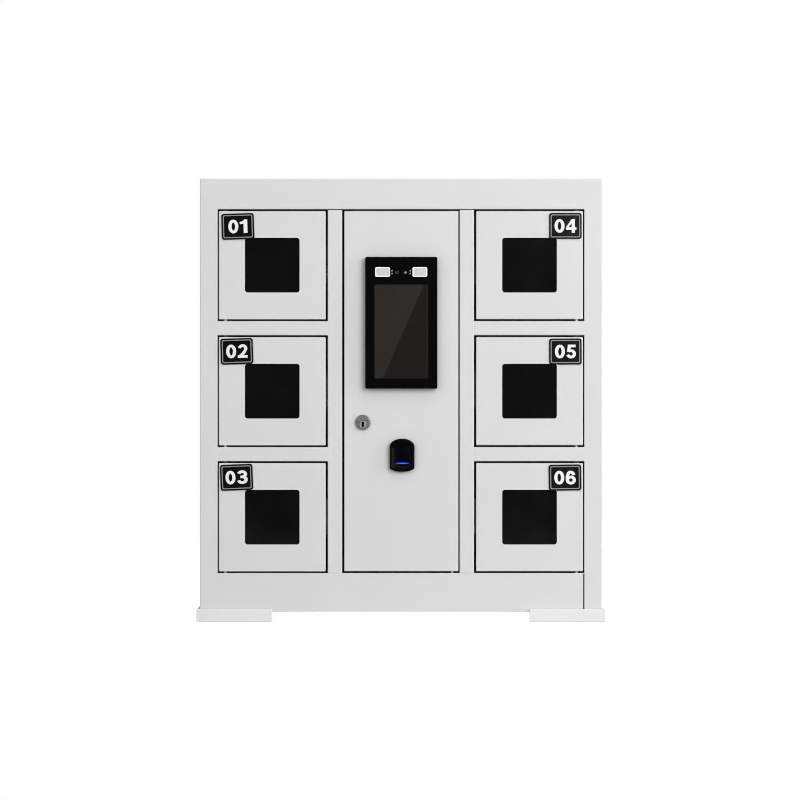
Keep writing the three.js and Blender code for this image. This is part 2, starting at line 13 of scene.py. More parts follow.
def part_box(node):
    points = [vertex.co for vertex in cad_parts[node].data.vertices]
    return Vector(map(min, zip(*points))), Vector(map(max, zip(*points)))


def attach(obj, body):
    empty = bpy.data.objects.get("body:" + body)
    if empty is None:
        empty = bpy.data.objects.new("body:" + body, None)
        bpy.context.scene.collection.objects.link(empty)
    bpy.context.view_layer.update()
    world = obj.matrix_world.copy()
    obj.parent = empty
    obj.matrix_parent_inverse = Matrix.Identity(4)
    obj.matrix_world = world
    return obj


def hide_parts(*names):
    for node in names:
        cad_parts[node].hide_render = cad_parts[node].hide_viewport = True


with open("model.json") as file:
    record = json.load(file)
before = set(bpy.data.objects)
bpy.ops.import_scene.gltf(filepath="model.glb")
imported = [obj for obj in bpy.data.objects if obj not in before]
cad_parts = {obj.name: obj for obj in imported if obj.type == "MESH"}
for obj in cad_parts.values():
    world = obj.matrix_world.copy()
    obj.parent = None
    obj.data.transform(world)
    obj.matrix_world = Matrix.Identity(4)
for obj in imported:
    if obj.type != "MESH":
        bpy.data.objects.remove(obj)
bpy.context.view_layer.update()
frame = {"nodes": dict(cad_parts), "record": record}

MM = 0.001
MICRON = 1e-6
SHEET = 1.2 * MM
FOLD_R = 1.15 * MM      # outer radius where the sheet is folded
NODE_BODY = {n: b for b, ns in frame["record"]["behaviour"]["bodies"].items() for n in ns}
NODE_SLOT = {s["node"]: s["material_slot"] for s in frame["record"]["subparts"]}
SHELVES = ("shelf_upper_left", "shelf_lower_left", "shelf_upper_right", "shelf_lower_right")
NUMBERS = ["01", "02", "03", "04", "05", "06"]
LEFT_NUMBERS, RIGHT_NUMBERS = NUMBERS[:3], NUMBERS[3:]
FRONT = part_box("top_panel")[0].y
EVEN = (1, 1, 1)        # a texture with no stretch


def span(node):
    """A node's box, and its middle."""
    low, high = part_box(node)
    return low, high, (low + high) / 2


# ---- Materials ----

def is_socket(value):
    return isinstance(value, bpy.types.NodeSocket)


class Tree:
    """A material's nodes, with short calls to add and join them."""

    def __init__(self, name, color, roughness, metallic=0.0, specular=0.5):
        self.material = bpy.data.materials.new(name)
        self.material.use_nodes = True
        self.nodes = self.material.node_tree.nodes
        self.links = self.material.node_tree.links
        self.surface = self.nodes["Principled BSDF"]
        self.color = color
        self.roughness = roughness
        self.set(self.surface, {"Base Color": (*color, 1), "Roughness": roughness, "Metallic": metallic,
                                "Specular IOR Level": specular})
        self.material.diffuse_color = (*color, 1)

    def set(self, node, values):
        for key, value in values.items():
            if is_socket(value):
                self.links.new(value, node.inputs[key])
            else:
                node.inputs[key].default_value = value

    def add(self, kind, settings=None, **inputs):
        node = self.nodes.new("ShaderNode" + kind)
        for key, value in (settings or {}).items():
            setattr(node, key, value)
        self.set(node, {key.replace("_", " "): value for key, value in inputs.items()})
        return node

    def place(self):
        return self.add("TexCoord").outputs["Object"]

    def noise(self, scale, detail=2.0, stretch=EVEN):
        mapping = self.add("Mapping", Vector=self.place(), Scale=stretch)
        return self.add("TexNoise", Vector=mapping.outputs[0], Scale=scale, Detail=detail).outputs["Fac"]

    def math(self, operation, *values):
        made = self.add("Math", {"operation": operation})
        self.set(made, dict(enumerate(values)))
        return made.outputs[0]

    def ramp(self, value, low=0, high=1, from_low=0.3, from_high=0.7):
        made = self.add("MapRange", Value=value)
        self.set(made, {"From Min": from_low, "From Max": from_high, "To Min": low, "To Max": high})
        return made.outputs[0]

    def mix(self, share, a, b):
        """Goes from one colour to another. The node's colours are its inputs 6 and 7."""
        made = self.add("Mix", {"data_type": "RGBA"})
        colors = {6: a, 7: b}
        self.set(made, {0: share, **{i: c if is_socket(c) else (*c, 1) for i, c in colors.items()}})
        return made.outputs[2]

    def paint(self, color):
        self.set(self.surface, {"Base Color": color})
        return self

    def mottle(self, scale, amount):
        """Slow changes of lightness over the surface."""
        dark = [c * (1 - amount) for c in self.color]
        light = [min(1, c * (1 + amount)) for c in self.color]
        return self.paint(self.mix(self.ramp(self.noise(scale, 3)), dark, light))

    def haze(self, scale, amount):
        """Changes of roughness, as handling and polishing leave."""
        low, high = self.roughness - amount, self.roughness + amount
        self.set(self.surface, {"Roughness": self.ramp(self.noise(scale, 4), low, high)})
        return self

    def grain(self, *layers, stretch=EVEN):
        """Bump from layers of noise, each a scale and a height in microns."""
        normal = None
        for scale, height in layers:
            noise = self.noise(scale, 2, stretch)
            bump = self.add("Bump", Height=noise, Strength=1.0, Distance=height * MICRON)
            if normal:
                self.links.new(normal, bump.inputs["Normal"])
            normal = bump.outputs[0]
        self.set(self.surface, {"Normal": normal})
        return self

    def shine(self, color, strength):
        self.set(self.surface, {"Emission Color": color, "Emission Strength": strength})
        return self


def finish(*look, mottle, haze, grain=None, stretch=EVEN, **more):
    """An even material: how it is mottled and hazed, and its grain."""
    tree = Tree(*look, **more).mottle(*mottle).haze(*haze)
    if grain:
        tree.grain(grain, stretch=stretch)
    return tree.material


def ink(name, color):
    return finish(name, color, 0.42, mottle=(90, 0.03), haze=(200, 0.05))


def plastic(name, color, roughness=0.45):
    return finish(name, color, roughness, mottle=(70, 0.04), haze=(90, 0.06), grain=(1200, 20))


def powder_coat():
    """Pale grey, with fine orange peel, and painted shade where it is folded away: darker in gaps and
    recesses.
    """
    painted_shade = (0.045, 0.045, 0.043)
    tree = Tree("powder_coat", (0.735, 0.735, 0.735), 0.5, specular=0.3)
    tree.mottle(9, 0.012).haze(30, 0.04).grain((420, 20), (2200, 10))
    even = tree.surface.inputs["Base Color"].links[0].from_socket
    # ambient occlusion mixes the paint towards near-black in gaps and recesses: painted shade
    shut = tree.add("AmbientOcclusion", {"samples": 6}, Distance=12 * MM).outputs["AO"]
    return tree.paint(tree.mix(tree.ramp(shut, 0, 1, 0.22, 0.46), painted_shade, even)).material


def display_with_painted_reflection(middle):
    """A dark display under its polarising film, with a painted reflection that makes it lighter above a
    diagonal.
    """
    light, warm, dark = (0.030, 0.0262, 0.0235), (0.0275, 0.0240, 0.0215), (0.0148, 0.0132, 0.0108)
    lean, edge = -0.438, (1.4 * MM, 3.4 * MM)        # the diagonal's slope, and where it begins and ends
    tree = Tree("display_with_painted_reflection", light, 0.12).haze(30, 0.03).grain((8, 10))
    split = tree.add("SeparateXYZ", Vector=tree.place()).outputs
    across = tree.math("SUBTRACT", split[0], middle.x)
    up = tree.math("SUBTRACT", split[2], middle.z)
    past = tree.math("MULTIPLY_ADD", up, lean, across)
    # the lighter, warmer tones above the diagonal are a painted reflection, not the display's own colour
    upper = tree.mix(tree.ramp(tree.noise(25)), warm, light)
    return tree.paint(tree.mix(tree.ramp(past, 0, 1, *edge), upper, dark)).material


def lamp_diffuser():
    """A lens of fine prisms over white light-emitting diodes."""
    light, dark = (0.64, 0.64, 0.64), (0.49, 0.49, 0.49)
    tree = Tree("lamp_diffuser", (0.72, 0.72, 0.72), 0.35).haze(300, 0.08)
    tree.grain((900, 40)).shine((1, 1, 1, 1), 0.05)
    cells = tree.add("TexVoronoi", Vector=tree.place(), Scale=900).outputs["Distance"]
    return tree.paint(tree.mix(tree.ramp(cells, 0, 1, 0.1, 0.6), dark, light)).material


def lamp_rim():
    """A white frame lit from within."""
    tree = Tree("lamp_rim", (0.92, 0.92, 0.92), 0.35).haze(200, 0.05)
    return tree.grain((900, 10)).shine((1, 1, 1, 1), 0.16).material


def blue_glow(middle, half):
    """A light bar, brightest at its middle and faint at its ends."""
    color, dim = (0.012, 0.07, 1.0), 0.05
    tree = Tree("blue_light", color, 0.3).haze(400, 0.05)
    split = tree.add("SeparateXYZ", Vector=tree.place()).outputs
    away = tree.math("ABSOLUTE", tree.math("SUBTRACT", split[0], middle))
    light = tree.mix(tree.ramp(away, 0, 1, half * 0.25, half * 0.95), color, [c * dim for c in color])
    return tree.shine(light, 1.8).material


def circuit():
    """Green solder mask over copper tracks."""
    mask, track = (0.012, 0.085, 0.035), (0.03, 0.17, 0.07)
    tree = Tree("solder_mask", mask, 0.32).haze(80, 0.06).grain((700, 20))
    bricks = tree.add("TexBrick", Vector=tree.place(), Scale=160, Mortar_Size=0.035,
                      Color1=(1, 1, 1, 1), Color2=(0.6, 0.6, 0.6, 1), Mortar=(0, 0, 0, 1))
    return tree.paint(tree.mix(tree.ramp(bricks.outputs["Fac"], 0, 1, 0, 1), mask, track)).material


PAINT = powder_coat()
FOOT = finish("white_plastic", (0.84, 0.84, 0.835), 0.5, mottle=(14, 0.015), haze=(50, 0.06), grain=(900, 20))
SMOKE = finish("smoked_acrylic", (0.0034, 0.0034, 0.0036), 0.1,
               mottle=(18, 0.35), haze=(22, 0.04), grain=(16, 20))
PRINT = finish("black_print", (0.0025, 0.0025, 0.0025), 0.24, specular=0.3,
               mottle=(60, 0.2), haze=(120, 0.04), grain=(1500, 4))
WHITE_INK = ink("white_ink", (0.9, 0.9, 0.9))
GREY_INK = ink("grey_ink", (0.30, 0.30, 0.30))
# pale grey; on the camera lens it is a painted highlight of the lights
PALE_GREY_AND_PAINTED_HIGHLIGHT = ink("pale_lens", (0.42, 0.42, 0.42))
RIM_WHITE = lamp_rim()
READER_BLACK = finish("gloss_black", (0.0012, 0.0011, 0.0016), 0.28, specular=0.06,
                      mottle=(80, 0.15), haze=(90, 0.04), grain=(1600, 8))
SENSOR = finish("sensor_glass", (0.0012, 0.001, 0.005), 0.15, specular=0.2,
                mottle=(200, 0.3), haze=(90, 0.05), grain=(60, 10))
ZINC = finish("zinc_plate", (0.56, 0.57, 0.58), 0.34, 1.0,
              mottle=(120, 0.08), haze=(70, 0.1), grain=(800, 15), stretch=(1, 1, 14))
CHROME = finish("dull_chrome", (0.35, 0.35, 0.36), 0.38, 1.0,
                mottle=(420, 0.35), haze=(500, 0.12), grain=(700, 80))
BRIGHT = finish("bright_chrome", (0.52, 0.52, 0.53), 0.45, 1.0,
                mottle=(260, 0.05), haze=(300, 0.06), grain=(1400, 10))
BLACK = finish("moulded_black", (0.005, 0.005, 0.0055), 0.3,
               mottle=(80, 0.15), haze=(90, 0.03), grain=(1600, 6))
GLASS = finish("cover_glass", (0.0018, 0.0018, 0.0018), 0.07, specular=0.4,
               mottle=(12, 0.15), haze=(8, 0.02), grain=(5, 10))
ALUMINIUM = finish("aluminium_case", (0.62, 0.63, 0.64), 0.38, 1.0,
                   mottle=(40, 0.05), haze=(90, 0.06), grain=(500, 10), stretch=(1, 1, 30))
BOARD = circuit()
OUTLET = plastic("outlet_white", (0.76, 0.76, 0.73))
RUBBER = plastic("rubber", (0.025, 0.025, 0.026), 0.7)
BRASS = finish("brass", (0.75, 0.58, 0.27), 0.3, 1.0, mottle=(200, 0.1), haze=(200, 0.08), grain=(900, 10))
CHIP = plastic("chip_black", (0.018, 0.018, 0.019), 0.5)
RELAY = plastic("relay_blue", (0.02, 0.09, 0.32), 0.4)
TERMINALS = plastic("terminal_green", (0.03, 0.28, 0.10), 0.45)
SWITCH_RED = plastic("switch_red", (0.42, 0.012, 0.01), 0.35)


# ---- Building ----

def piece(name, bm, material, body, slot, *replaced, smooth=35):
    """Turns a bmesh into a piece of the object."""
    mesh = bpy.data.meshes.new(name)
    bm.to_mesh(mesh)
    bm.free()
    mesh.materials.append(material)
    mesh.polygons.foreach_set("use_smooth", [True] * len(mesh.polygons))
    mesh.set_sharp_from_angle(angle=math.radians(smooth))
    made = bpy.data.objects.new(name, mesh)
    bpy.context.scene.collection.objects.link(made)
    even = made.modifiers.new("even_normals", "WEIGHTED_NORMAL")
    even.keep_sharp = True
    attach(made, body)
    if replaced:
        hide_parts(*replaced)
    return made


def breadth(face):
    """How wide a face is across its longest edge."""
    return face.calc_area() / max(e.calc_length() for e in face.edges)


def is_fold(edge):
    """Whether an edge is a fold of the sheet, and not a cut edge or a notch's."""
    steep, least = math.radians(60), 4 * MM
    if len(edge.link_faces) != 2 or not edge.is_convex:
        return False
    if edge.calc_face_angle(0) < steep or edge.calc_length() < least:
        return False
    return min(breadth(f) for f in edge.link_faces) > least


def cleaned(node):
    """A CAD node's mesh with its triangles merged into whole flat faces."""
    bm = bmesh.new()
    bm.from_mesh(frame["nodes"][node].data)
    bmesh.ops.remove_doubles(bm, verts=bm.verts, dist=2e-6)
    bmesh.ops.dissolve_limit(bm, angle_limit=0.01, verts=bm.verts, edges=bm.edges)
    return bm


def bevel(bm, edges, width, segments=3):
    bmesh.ops.bevel(bm, geom=edges, offset=width, segments=segments, profile=0.5, affect="EDGES",
                    offset_type="OFFSET", clamp_overlap=False)


def refined(node, material, fold=0.0, edge=0.12 * MM, segments=1):
    """A copy of a CAD node, which replaces it, with its folds and its sharp edges rounded."""
    bm = cleaned(node)
    if fold:
        bevel(bm, [e for e in bm.edges if is_fold(e)], fold)
    made = piece(node + "_skin", bm, material, NODE_BODY[node], NODE_SLOT[node], node)
    rounding = made.modifiers.new("rounding", "BEVEL")
    rounding.width = edge
    rounding.segments = segments
    rounding.limit_method = "ANGLE"
    rounding.angle_limit = math.radians(50)
    rounding.use_clamp_overlap = True
    made.modifiers.move(len(made.modifiers) - 1, 0)      # before the normals are evened
    return made


def carve(made, cutter):
    """Cuts a bmesh's shape out of a piece, and applies the cut."""
    mesh = bpy.data.meshes.new("cutter")
    cutter.to_mesh(mesh)
    cutter.free()
    tool = bpy.data.objects.new("cutter", mesh)
    bpy.context.scene.collection.objects.link(tool)
    cut = made.modifiers.new("cut", "BOOLEAN")
    cut.operation, cut.solver, cut.object = "DIFFERENCE", "EXACT", tool
    made.modifiers.move(len(made.modifiers) - 1, 0)
    others = [m for m in made.modifiers if m.name != cut.name]
    for other in others:
        other.show_viewport = False
    bpy.context.view_layer.update()
    whole = made.evaluated_get(bpy.context.evaluated_depsgraph_get())
    made.data = bpy.data.meshes.new_from_object(whole)
    made.modifiers.remove(cut)
    for other in others:
        other.show_viewport = True
    bpy.data.objects.remove(tool)


def rounded(x, z, width, height, r, steps=6):
    """A rectangle's outline with round corners."""
    points = []
    for corner, (sx, sz) in enumerate(((1, 1), (-1, 1), (-1, -1), (1, -1))):
        cx, cz = x + sx * (width / 2 - r), z + sz * (height / 2 - r)
        for step in range(steps + 1):
            a = math.pi / 2 * (corner + step / steps)
            points.append((cx + r * math.cos(a), cz + r * math.sin(a)))
    return points


def circle(x, z, r, steps=32):
    turns = [2 * math.pi * i / steps for i in range(steps)]
    return [(x + r * math.cos(a), z + r * math.sin(a)) for a in turns]


def inside(point, outline):
    """Whether a point is within an outline."""
    x, z = point
    odd = False
    for (xa, za), (xb, zb) in zip(outline, outline[1:] + outline[:1]):
        if (za > z) != (zb > z) and x < (xb - xa) * (z - za) / (zb - za) + xa:
            odd = not odd
    return odd


def flat(outlines, holes, near, far, rim=0.0, segments=2, bm=None):
    """The union of some outlines, less some holes, drawn back from one depth to another.
    The front rim is rounded."""
    points, faces = [], []
    for outline in [*outlines, *holes]:
        faces.append(list(range(len(points), len(points) + len(outline))))
        points += [Vector(p) for p in outline]
    found, _, triangles, *_ = delaunay_2d_cdt(points, [], faces, 1, 1e-7)
    bm = bm or bmesh.new()
    verts = [bm.verts.new((p.x, near, p.y)) for p in found]
    made = []
    for triangle in triangles:
        middle = sum((found[i] for i in triangle), Vector((0, 0))) / 3
        if any(inside(middle, o) for o in outlines) and not any(inside(middle, h) for h in holes):
            made.append(bm.faces.new([verts[i] for i in triangle]))
    bmesh.ops.delete(bm, geom=[v for v in verts if not v.link_faces], context="VERTS")
    flat_edges = list({e for f in made for e in f.edges})
    flat_verts = list({v for f in made for v in f.verts})
    merged = bmesh.ops.dissolve_limit(bm, angle_limit=0.01, verts=flat_verts, edges=flat_edges)
    front = [f for f in merged["region"] if isinstance(f, bmesh.types.BMFace) and f.is_valid]
    grown = bmesh.ops.extrude_face_region(bm, geom=front, use_keep_orig=True)
    moved = [v for v in grown["geom"] if isinstance(v, bmesh.types.BMVert)]
    bmesh.ops.translate(bm, verts=moved, vec=(0, far - near, 0))
    bmesh.ops.recalc_face_normals(bm, faces=bm.faces)
    if rim:
        edges = [e for e in bm.edges if len(e.link_faces) == 2 and e.calc_face_angle(0) > 1
                 and all(abs(v.co.y - near) < 1e-7 for v in e.verts)]
        bevel(bm, edges, rim, segments)
    return bm


def block(bm, low, high, edge=0.0):
    """A box with rounded edges, added to a bmesh."""
    low, high = Vector(low), Vector(high)
    made = bmesh.ops.create_cube(bm, size=1)["verts"]
    for v in made:
        v.co = Vector([(low[i] + high[i]) / 2 + v.co[i] * (high[i] - low[i]) for i in range(3)])
    if edge:
        bevel(bm, list({e for v in made for e in v.link_edges}), edge, 2)


def slab(bm, x, z, width, height, near, far, edge=0.0):
    """A box by its middle and its size across and up, and by how far forward and back it goes."""
    block(bm, (x - width / 2, near, z - height / 2), (x + width / 2, far, z + height / 2), edge)


def disc(radius, tall, rim):
    """A round pad's profile, with its outer rim cut back."""
    return [(0, 0), (radius, 0), (radius, tall - rim), (radius - rim, tall), (0, tall)]


def standing(place, axis):
    """A turn of the upward axis to another, and a move to a place."""
    turn = Vector((0, 0, 1)).rotation_difference(Vector(axis))
    return Matrix.Translation(place) @ turn.to_matrix().to_4x4()


def lathe(bm, profile, middle, axis=(0, -1, 0), steps=40):
    """A shape of revolution: a profile of radius and height along an axis, from a middle point."""
    matrix = standing(middle, axis)
    rings = []
    for radius, height in profile:
        if radius < 1e-9:
            rings.append([bm.verts.new(matrix @ Vector((0, 0, height)))])
            continue
        angles = [2 * math.pi * i / steps for i in range(steps)]
        rings.append([bm.verts.new(matrix @ Vector((radius * math.cos(a), radius * math.sin(a), height)))
                      for a in angles])
    closed = len(rings[0]) > 1 and len(rings[-1]) > 1
    pairs = list(zip(rings, rings[1:])) + ([(rings[-1], rings[0])] if closed else [])
    for low, high in pairs:
        for i in range(steps):
            j = (i + 1) % steps
            corners = [low[i % len(low)], low[j % len(low)], high[j % len(high)], high[i % len(high)]]
            unique = list(dict.fromkeys(corners))
            if len(unique) > 2:
                bm.faces.new(unique)
    bmesh.ops.recalc_face_normals(bm, faces=bm.faces)
    return bm


def near_corners(low, high, side, end):
    """Points near the corners of a box, by how far in they are across and up."""
    return [(x, z) for x in (low.x + side, high.x - side) for z in (low.z + end, high.z - end)]


def loft(bm, rows):
    """Joins closed rows of points, each as long as the last, and closes both ends."""
    rows = [[bm.verts.new(p) for p in row] for row in rows]
    count = len(rows[0])
    for a, b in zip(rows, rows[1:]):
        for i in range(count):
            j = (i + 1) % count
            bm.faces.new([a[i], a[j], b[j], b[i]])
    bm.faces.new(rows[0])
    bm.faces.new(rows[-1])
    bmesh.ops.recalc_face_normals(bm, faces=bm.faces)


def screw_heads(name, places, facing, radius, body, material=None, slot="zinc_steel"):
    """Pan-head screws with a cross recess, all facing one way, as one piece.
    Shapes are shares of the radius."""
    rings, steps = 10, 48
    crown, arm, reach, sunk = 0.5, 0.13, 0.56, 0.32
    bm = bmesh.new()
    for place in places:
        matrix = standing(place, facing)
        previous = None
        for ring in range(rings + 1):
            share = ring / rings
            row = []
            for i in range(steps if ring else 1):
                a = 2 * math.pi * i / steps
                x, y = share * math.cos(a), share * math.sin(a)
                height = crown * math.sqrt(max(0, 1 - share ** 3))
                if min(abs(x), abs(y)) < arm and max(abs(x), abs(y)) < reach:
                    height -= sunk
                row.append(bm.verts.new(matrix @ Vector((x * radius, y * radius, height * radius))))
            if previous:
                for i in range(steps):
                    j = (i + 1) % steps
                    corners = [previous[i % len(previous)], row[i], row[j], previous[j % len(previous)]]
                    bm.faces.new(list(dict.fromkeys(corners)))
            previous = row
        bm.faces.new(reversed(previous))
    bmesh.ops.recalc_face_normals(bm, faces=bm.faces)
    piece(name, bm, material or ZINC, body, slot, smooth=40)


def middle_of(node):
    return span(node)[2]


# ---- Cabinet ----

def cabinet_panels():
    for node in ("top_panel", "bottom_panel", "left_side_panel", "right_side_panel", "left_partition",
                 "right_partition", *SHELVES):
        refined(node, PAINT, fold=FOLD_R)
    seams()
    for node in ("left_foot", "right_foot"):
        refined(node, FOOT, edge=0.8 * MM, segments=3)


def seams():
    """Weld and filler where the fascias and shelves meet the posts and partitions."""
    gap, lap, reach = 0.3 * MM, 0.1 * MM, 0.9 * MM      # reach is how far it goes into the fold beside it
    near, far = FRONT + 0.12 * MM, FRONT + 1 * MM
    bm = bmesh.new()

    def upright(x, side, low_z, high_z):
        start, end = sorted((x - side * (gap + lap), x + side * reach))
        block(bm, (start, near, low_z), (end, far, high_z))

    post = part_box("right_side_panel")[0].x
    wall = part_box("right_partition")[1].x
    fascia_low, fascia_high = (p.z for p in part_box("top_panel"))
    for side in (-1, 1):
        upright(side * post, side, fascia_low, fascia_high)
    for node in SHELVES:
        side = 1 if node.endswith("right") else -1
        low, high = (p.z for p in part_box(node))
        upright(side * post, side, low, high)
        upright(side * wall, -side, low, high)
    low, high = (p.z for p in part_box("bottom_panel"))
    upright(-post, -1, low, high)
    for word in ("left", "right"):
        wall_low, wall_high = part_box(word + "_partition")
        block(bm, (wall_low.x + FOLD_R, near, high - lap), (wall_high.x - FOLD_R, far, wall_low.z + 0.5 * MM))
    piece("seam_filler", bm, PAINT, "cabinet", "body_paint")


def back_fasteners():
    """The back panel, held by countersunk screws round its edge."""
    low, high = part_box("back_panel")
    inset, radius = 6 * MM, 2.9 * MM
    up, across = 4, 4                                   # spaces between the screws
    xs, zs = (low.x + inset, high.x - inset), (low.z + inset, high.z - inset)
    places = [(x, zs[0] + (zs[1] - zs[0]) * i / up) for x in xs for i in range(up + 1)]
    places += [(low.x + (high.x - low.x) * i / across, z) for i in range(1, across) for z in zs]
    bore, mouth = radius * 0.62, radius * 1.12
    bottom, ledge, above = -1.6 * MM, -1 * MM, 0.1 * MM
    sinks = bmesh.new()
    for x, z in places:
        profile = [(0, bottom), (bore, bottom), (bore, ledge), (mouth, above), (0, above)]
        lathe(sinks, profile, (x, high.y, z), (0, 1, 0), 24)
    carve(refined("back_panel", PAINT, edge=0.25 * MM), sinks)
    heads = [(x, high.y - 0.62 * radius, z) for x, z in places]
    screw_heads("back_panel_screws", heads, (0, 1, 0), radius, "cabinet")


def hinge_rods():
    """Round rods, bent back at the top so that they can't drop."""
    steps = 8
    for word in ("left", "right", "service"):
        node = "hinge_rod_" + word
        low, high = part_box(node)
        radius = (high.x - low.x) / 2
        x, y = (low.x + high.x) / 2, low.y + radius
        bend, top = 1.6 * radius, high.z - radius
        path = [(x, y, low.z + 0.4 * MM), (x, y, top - bend)]
        for step in range(1, steps + 1):
            a = math.pi / 2 * step / steps
            path.append((x, y + bend * (1 - math.cos(a)), top - bend + bend * math.sin(a)))
        path.append((x, high.y, top))
        tube(node + "_bar", path, radius, ZINC, "cabinet", "zinc_steel", node)


def tube(name, path, radius, material, body, slot, *replaced, steps=24):
    """A round bar along a path that bends in one plane, with its ends closed and rounded."""
    points = [Vector(p) for p in path]
    side = Vector((1, 0, 0))
    angles = [2 * math.pi * k / steps for k in range(steps)]
    rows = []
    for i, point in enumerate(points):
        along = (points[min(i + 1, len(points) - 1)] - points[max(i - 1, 0)]).normalized()
        across = along.cross(side).normalized()
        rows.append([point + radius * (side * math.cos(a) + across * math.sin(a)) for a in angles])
    bm = bmesh.new()
    loft(bm, rows)
    bevel(bm, [e for e in bm.edges if e.calc_face_angle(0) > 1], 0.3 * MM, 2)
    piece(name, bm, material, body, slot, *replaced)


# ---- Doors ----

STROKE_UP, STROKE_ACROSS = 0.228, 0.195     # upright and level strokes, as shares of a digit's height


def stroke(points, closed=False):
    """A digit's stroke, as quadrilaterals in a row along its middle line."""
    count = len(points)
    sides = []
    for i, (x, z) in enumerate(points):
        xa, za = points[(i - 1) % count] if closed or i else points[i]
        xb, zb = points[(i + 1) % count] if closed or i < count - 1 else points[i]
        length = math.hypot(xb - xa, zb - za)
        dx, dz = (xb - xa) / length, (zb - za) / length
        half = math.hypot(STROKE_UP * dz, STROKE_ACROSS * dx) / 2
        sides.append(((x - dz * half, z + dx * half), (x + dz * half, z - dx * half)))
    pairs = list(zip(sides, sides[1:])) + ([(sides[-1], sides[0])] if closed else [])
    return [[a[0], b[0], b[1], a[1]] for a, b in pairs]


def arc(x, z, across, up, start, end, steps=18):
    """Points on an ellipse, between two angles in degrees."""
    angles = [math.radians(start + (end - start) * i / steps) for i in range(steps + 1)]
    return [(x + across * math.cos(a), z + up * math.sin(a)) for a in angles]


def bar(left, right, low, high):
    return [(left, low), (right, low), (right, high), (left, high)]


def digit(character):
    """Outlines of a digit, one unit tall."""
    if character == "0":
        return stroke(arc(0.37, 0.5, 0.24, 0.405, 0, 350, 35), closed=True)
    if character == "1":
        return [[(0, 0.66), (0.09, 0.66), (0.19, 0.68), (0.25, 0.70), (0.25, 0), (0.505, 0), (0.505, 1),
                 (0.30, 1), (0.25, 0.92), (0.15, 0.85), (0, 0.82)]]
    if character == "2":
        curve = arc(0.37, 0.69, 0.235, 0.215, 170, -28, 18) + [(0.40, 0.33), (0.13, 0.09)]
        return stroke(curve) + [bar(0, 0.72, 0, 0.2)]
    if character == "3":
        upper = arc(0.355, 0.715, 0.22, 0.19, 165, -95)
        lower = arc(0.355, 0.31, 0.245, 0.215, 95, -168)
        return stroke(upper) + stroke(lower) + [bar(0.24, 0.40, 0.43, 0.61)]
    if character == "4":
        slope = [(0, 0.24), (0.18, 0.40), (0.50, 0.80), (0.50, 1), (0.42, 1), (0, 0.42)]
        return [bar(0.42, 0.65, 0, 1), bar(0, 0.76, 0.21, 0.40), slope]
    if character == "5":
        stem = [(0.12, 1), (0.34, 1), (0.27, 0.47), (0.04, 0.47)]
        return stroke(arc(0.345, 0.325, 0.25, 0.235, 128, -165)) + [stem, bar(0.12, 0.68, 0.81, 1)]
    ring = stroke(arc(0.375, 0.315, 0.24, 0.225, 0, 350, 35), closed=True)
    return ring + stroke(arc(0.375, 0.5, 0.24, 0.405, 205, 25, 24))


# how much wider than drawn some digits are
DIGIT_STRETCH = {"0": 1.04, "1": 1.1, "3": 1.12, "6": 1.05}


def digit_outlines(character):
    """A digit's outlines, from its left edge and as wide as it should be."""
    outlines = digit(character)
    left = min(x for outline in outlines for x, z in outline)
    stretch = DIGIT_STRETCH.get(character, 1)
    return [[((x - left) * stretch, z) for x, z in outline] for outline in outlines]


def digit_width(character):
    return max(x for outline in digit_outlines(character) for x, z in outline)


def plate_place(node):
    """Where a number plate is stuck and how it is turned, from its longest level edge."""
    mesh = frame["nodes"][node].data
    level = 2 * MM
    longest = Vector((0, 0, 0))
    for edge in mesh.edges:
        a, b = sorted((mesh.vertices[i].co for i in edge.vertices), key=lambda co: co.x)
        if abs(b.z - a.z) < level and b.x - a.x > longest.x:
            longest = b - a
    tilt = math.atan2(longest.z, longest.x)
    return Matrix.Translation(middle_of(node)) @ Matrix.Rotation(-tilt, 4, "Y")


def number_plate(number):
    """A plate with a printed border, and digits that stand slightly proud."""
    node = "number_plate_" + number
    body = NODE_BODY[node]
    matrix = plate_place(node)
    width, height, corner = 40.4 * MM, 32.3 * MM, 3.2 * MM
    inset, line = 1.9 * MM, 1.1 * MM
    face, ink_back = -0.5 * MM, -0.45 * MM
    tall, space = 16.9 * MM, 0.11                       # space as a share of the height

    def stuck(name, bm, material, slot, *replaced):
        bm.transform(matrix)
        piece(node + name, bm, material, body, slot, *replaced)

    def outline(margin, less):
        return rounded(0, 0, width - 2 * margin, height - 2 * margin, corner - less)

    stuck("_plate", flat([outline(0, 0)], [], face, -face, 0.25 * MM), PRINT, "plate_black", node)
    border = flat([outline(inset, 1.2 * MM)], [outline(inset + line, 1.7 * MM)], face - 0.05 * MM, ink_back)
    stuck("_border", border, GREY_INK, "print_white")

    start = -(sum(digit_width(c) for c in number) + space) / 2
    bm = bmesh.new()
    for character in number:
        outlines = [[((x + start) * tall, (z - 0.5) * tall) for x, z in o] for o in digit_outlines(character)]
        flat(outlines, [], face - 0.06 * MM, ink_back, bm=bm)
        start += digit_width(character) + space
    stuck("_digits", bm, WHITE_INK, "print_white")


def bush(door, rod):
    """A ring on a hinge rod, between a door's top and the sheet over it."""
    low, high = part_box(rod)
    radius = (high.x - low.x) / 2
    place = ((low.x + high.x) / 2, low.y + radius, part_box(door)[1].z + 0.1 * MM)
    inner, outer, tall = radius + 0.35 * MM, radius + 1.6 * MM, 1.85 * MM
    bm = bmesh.new()
    lathe(bm, [(inner, 0), (outer, 0), (outer, tall), (inner, tall)], place, (0, 0, 1), 32)
    piece(door + "_bush", bm, RUBBER, NODE_BODY[door], "rubber_pad")


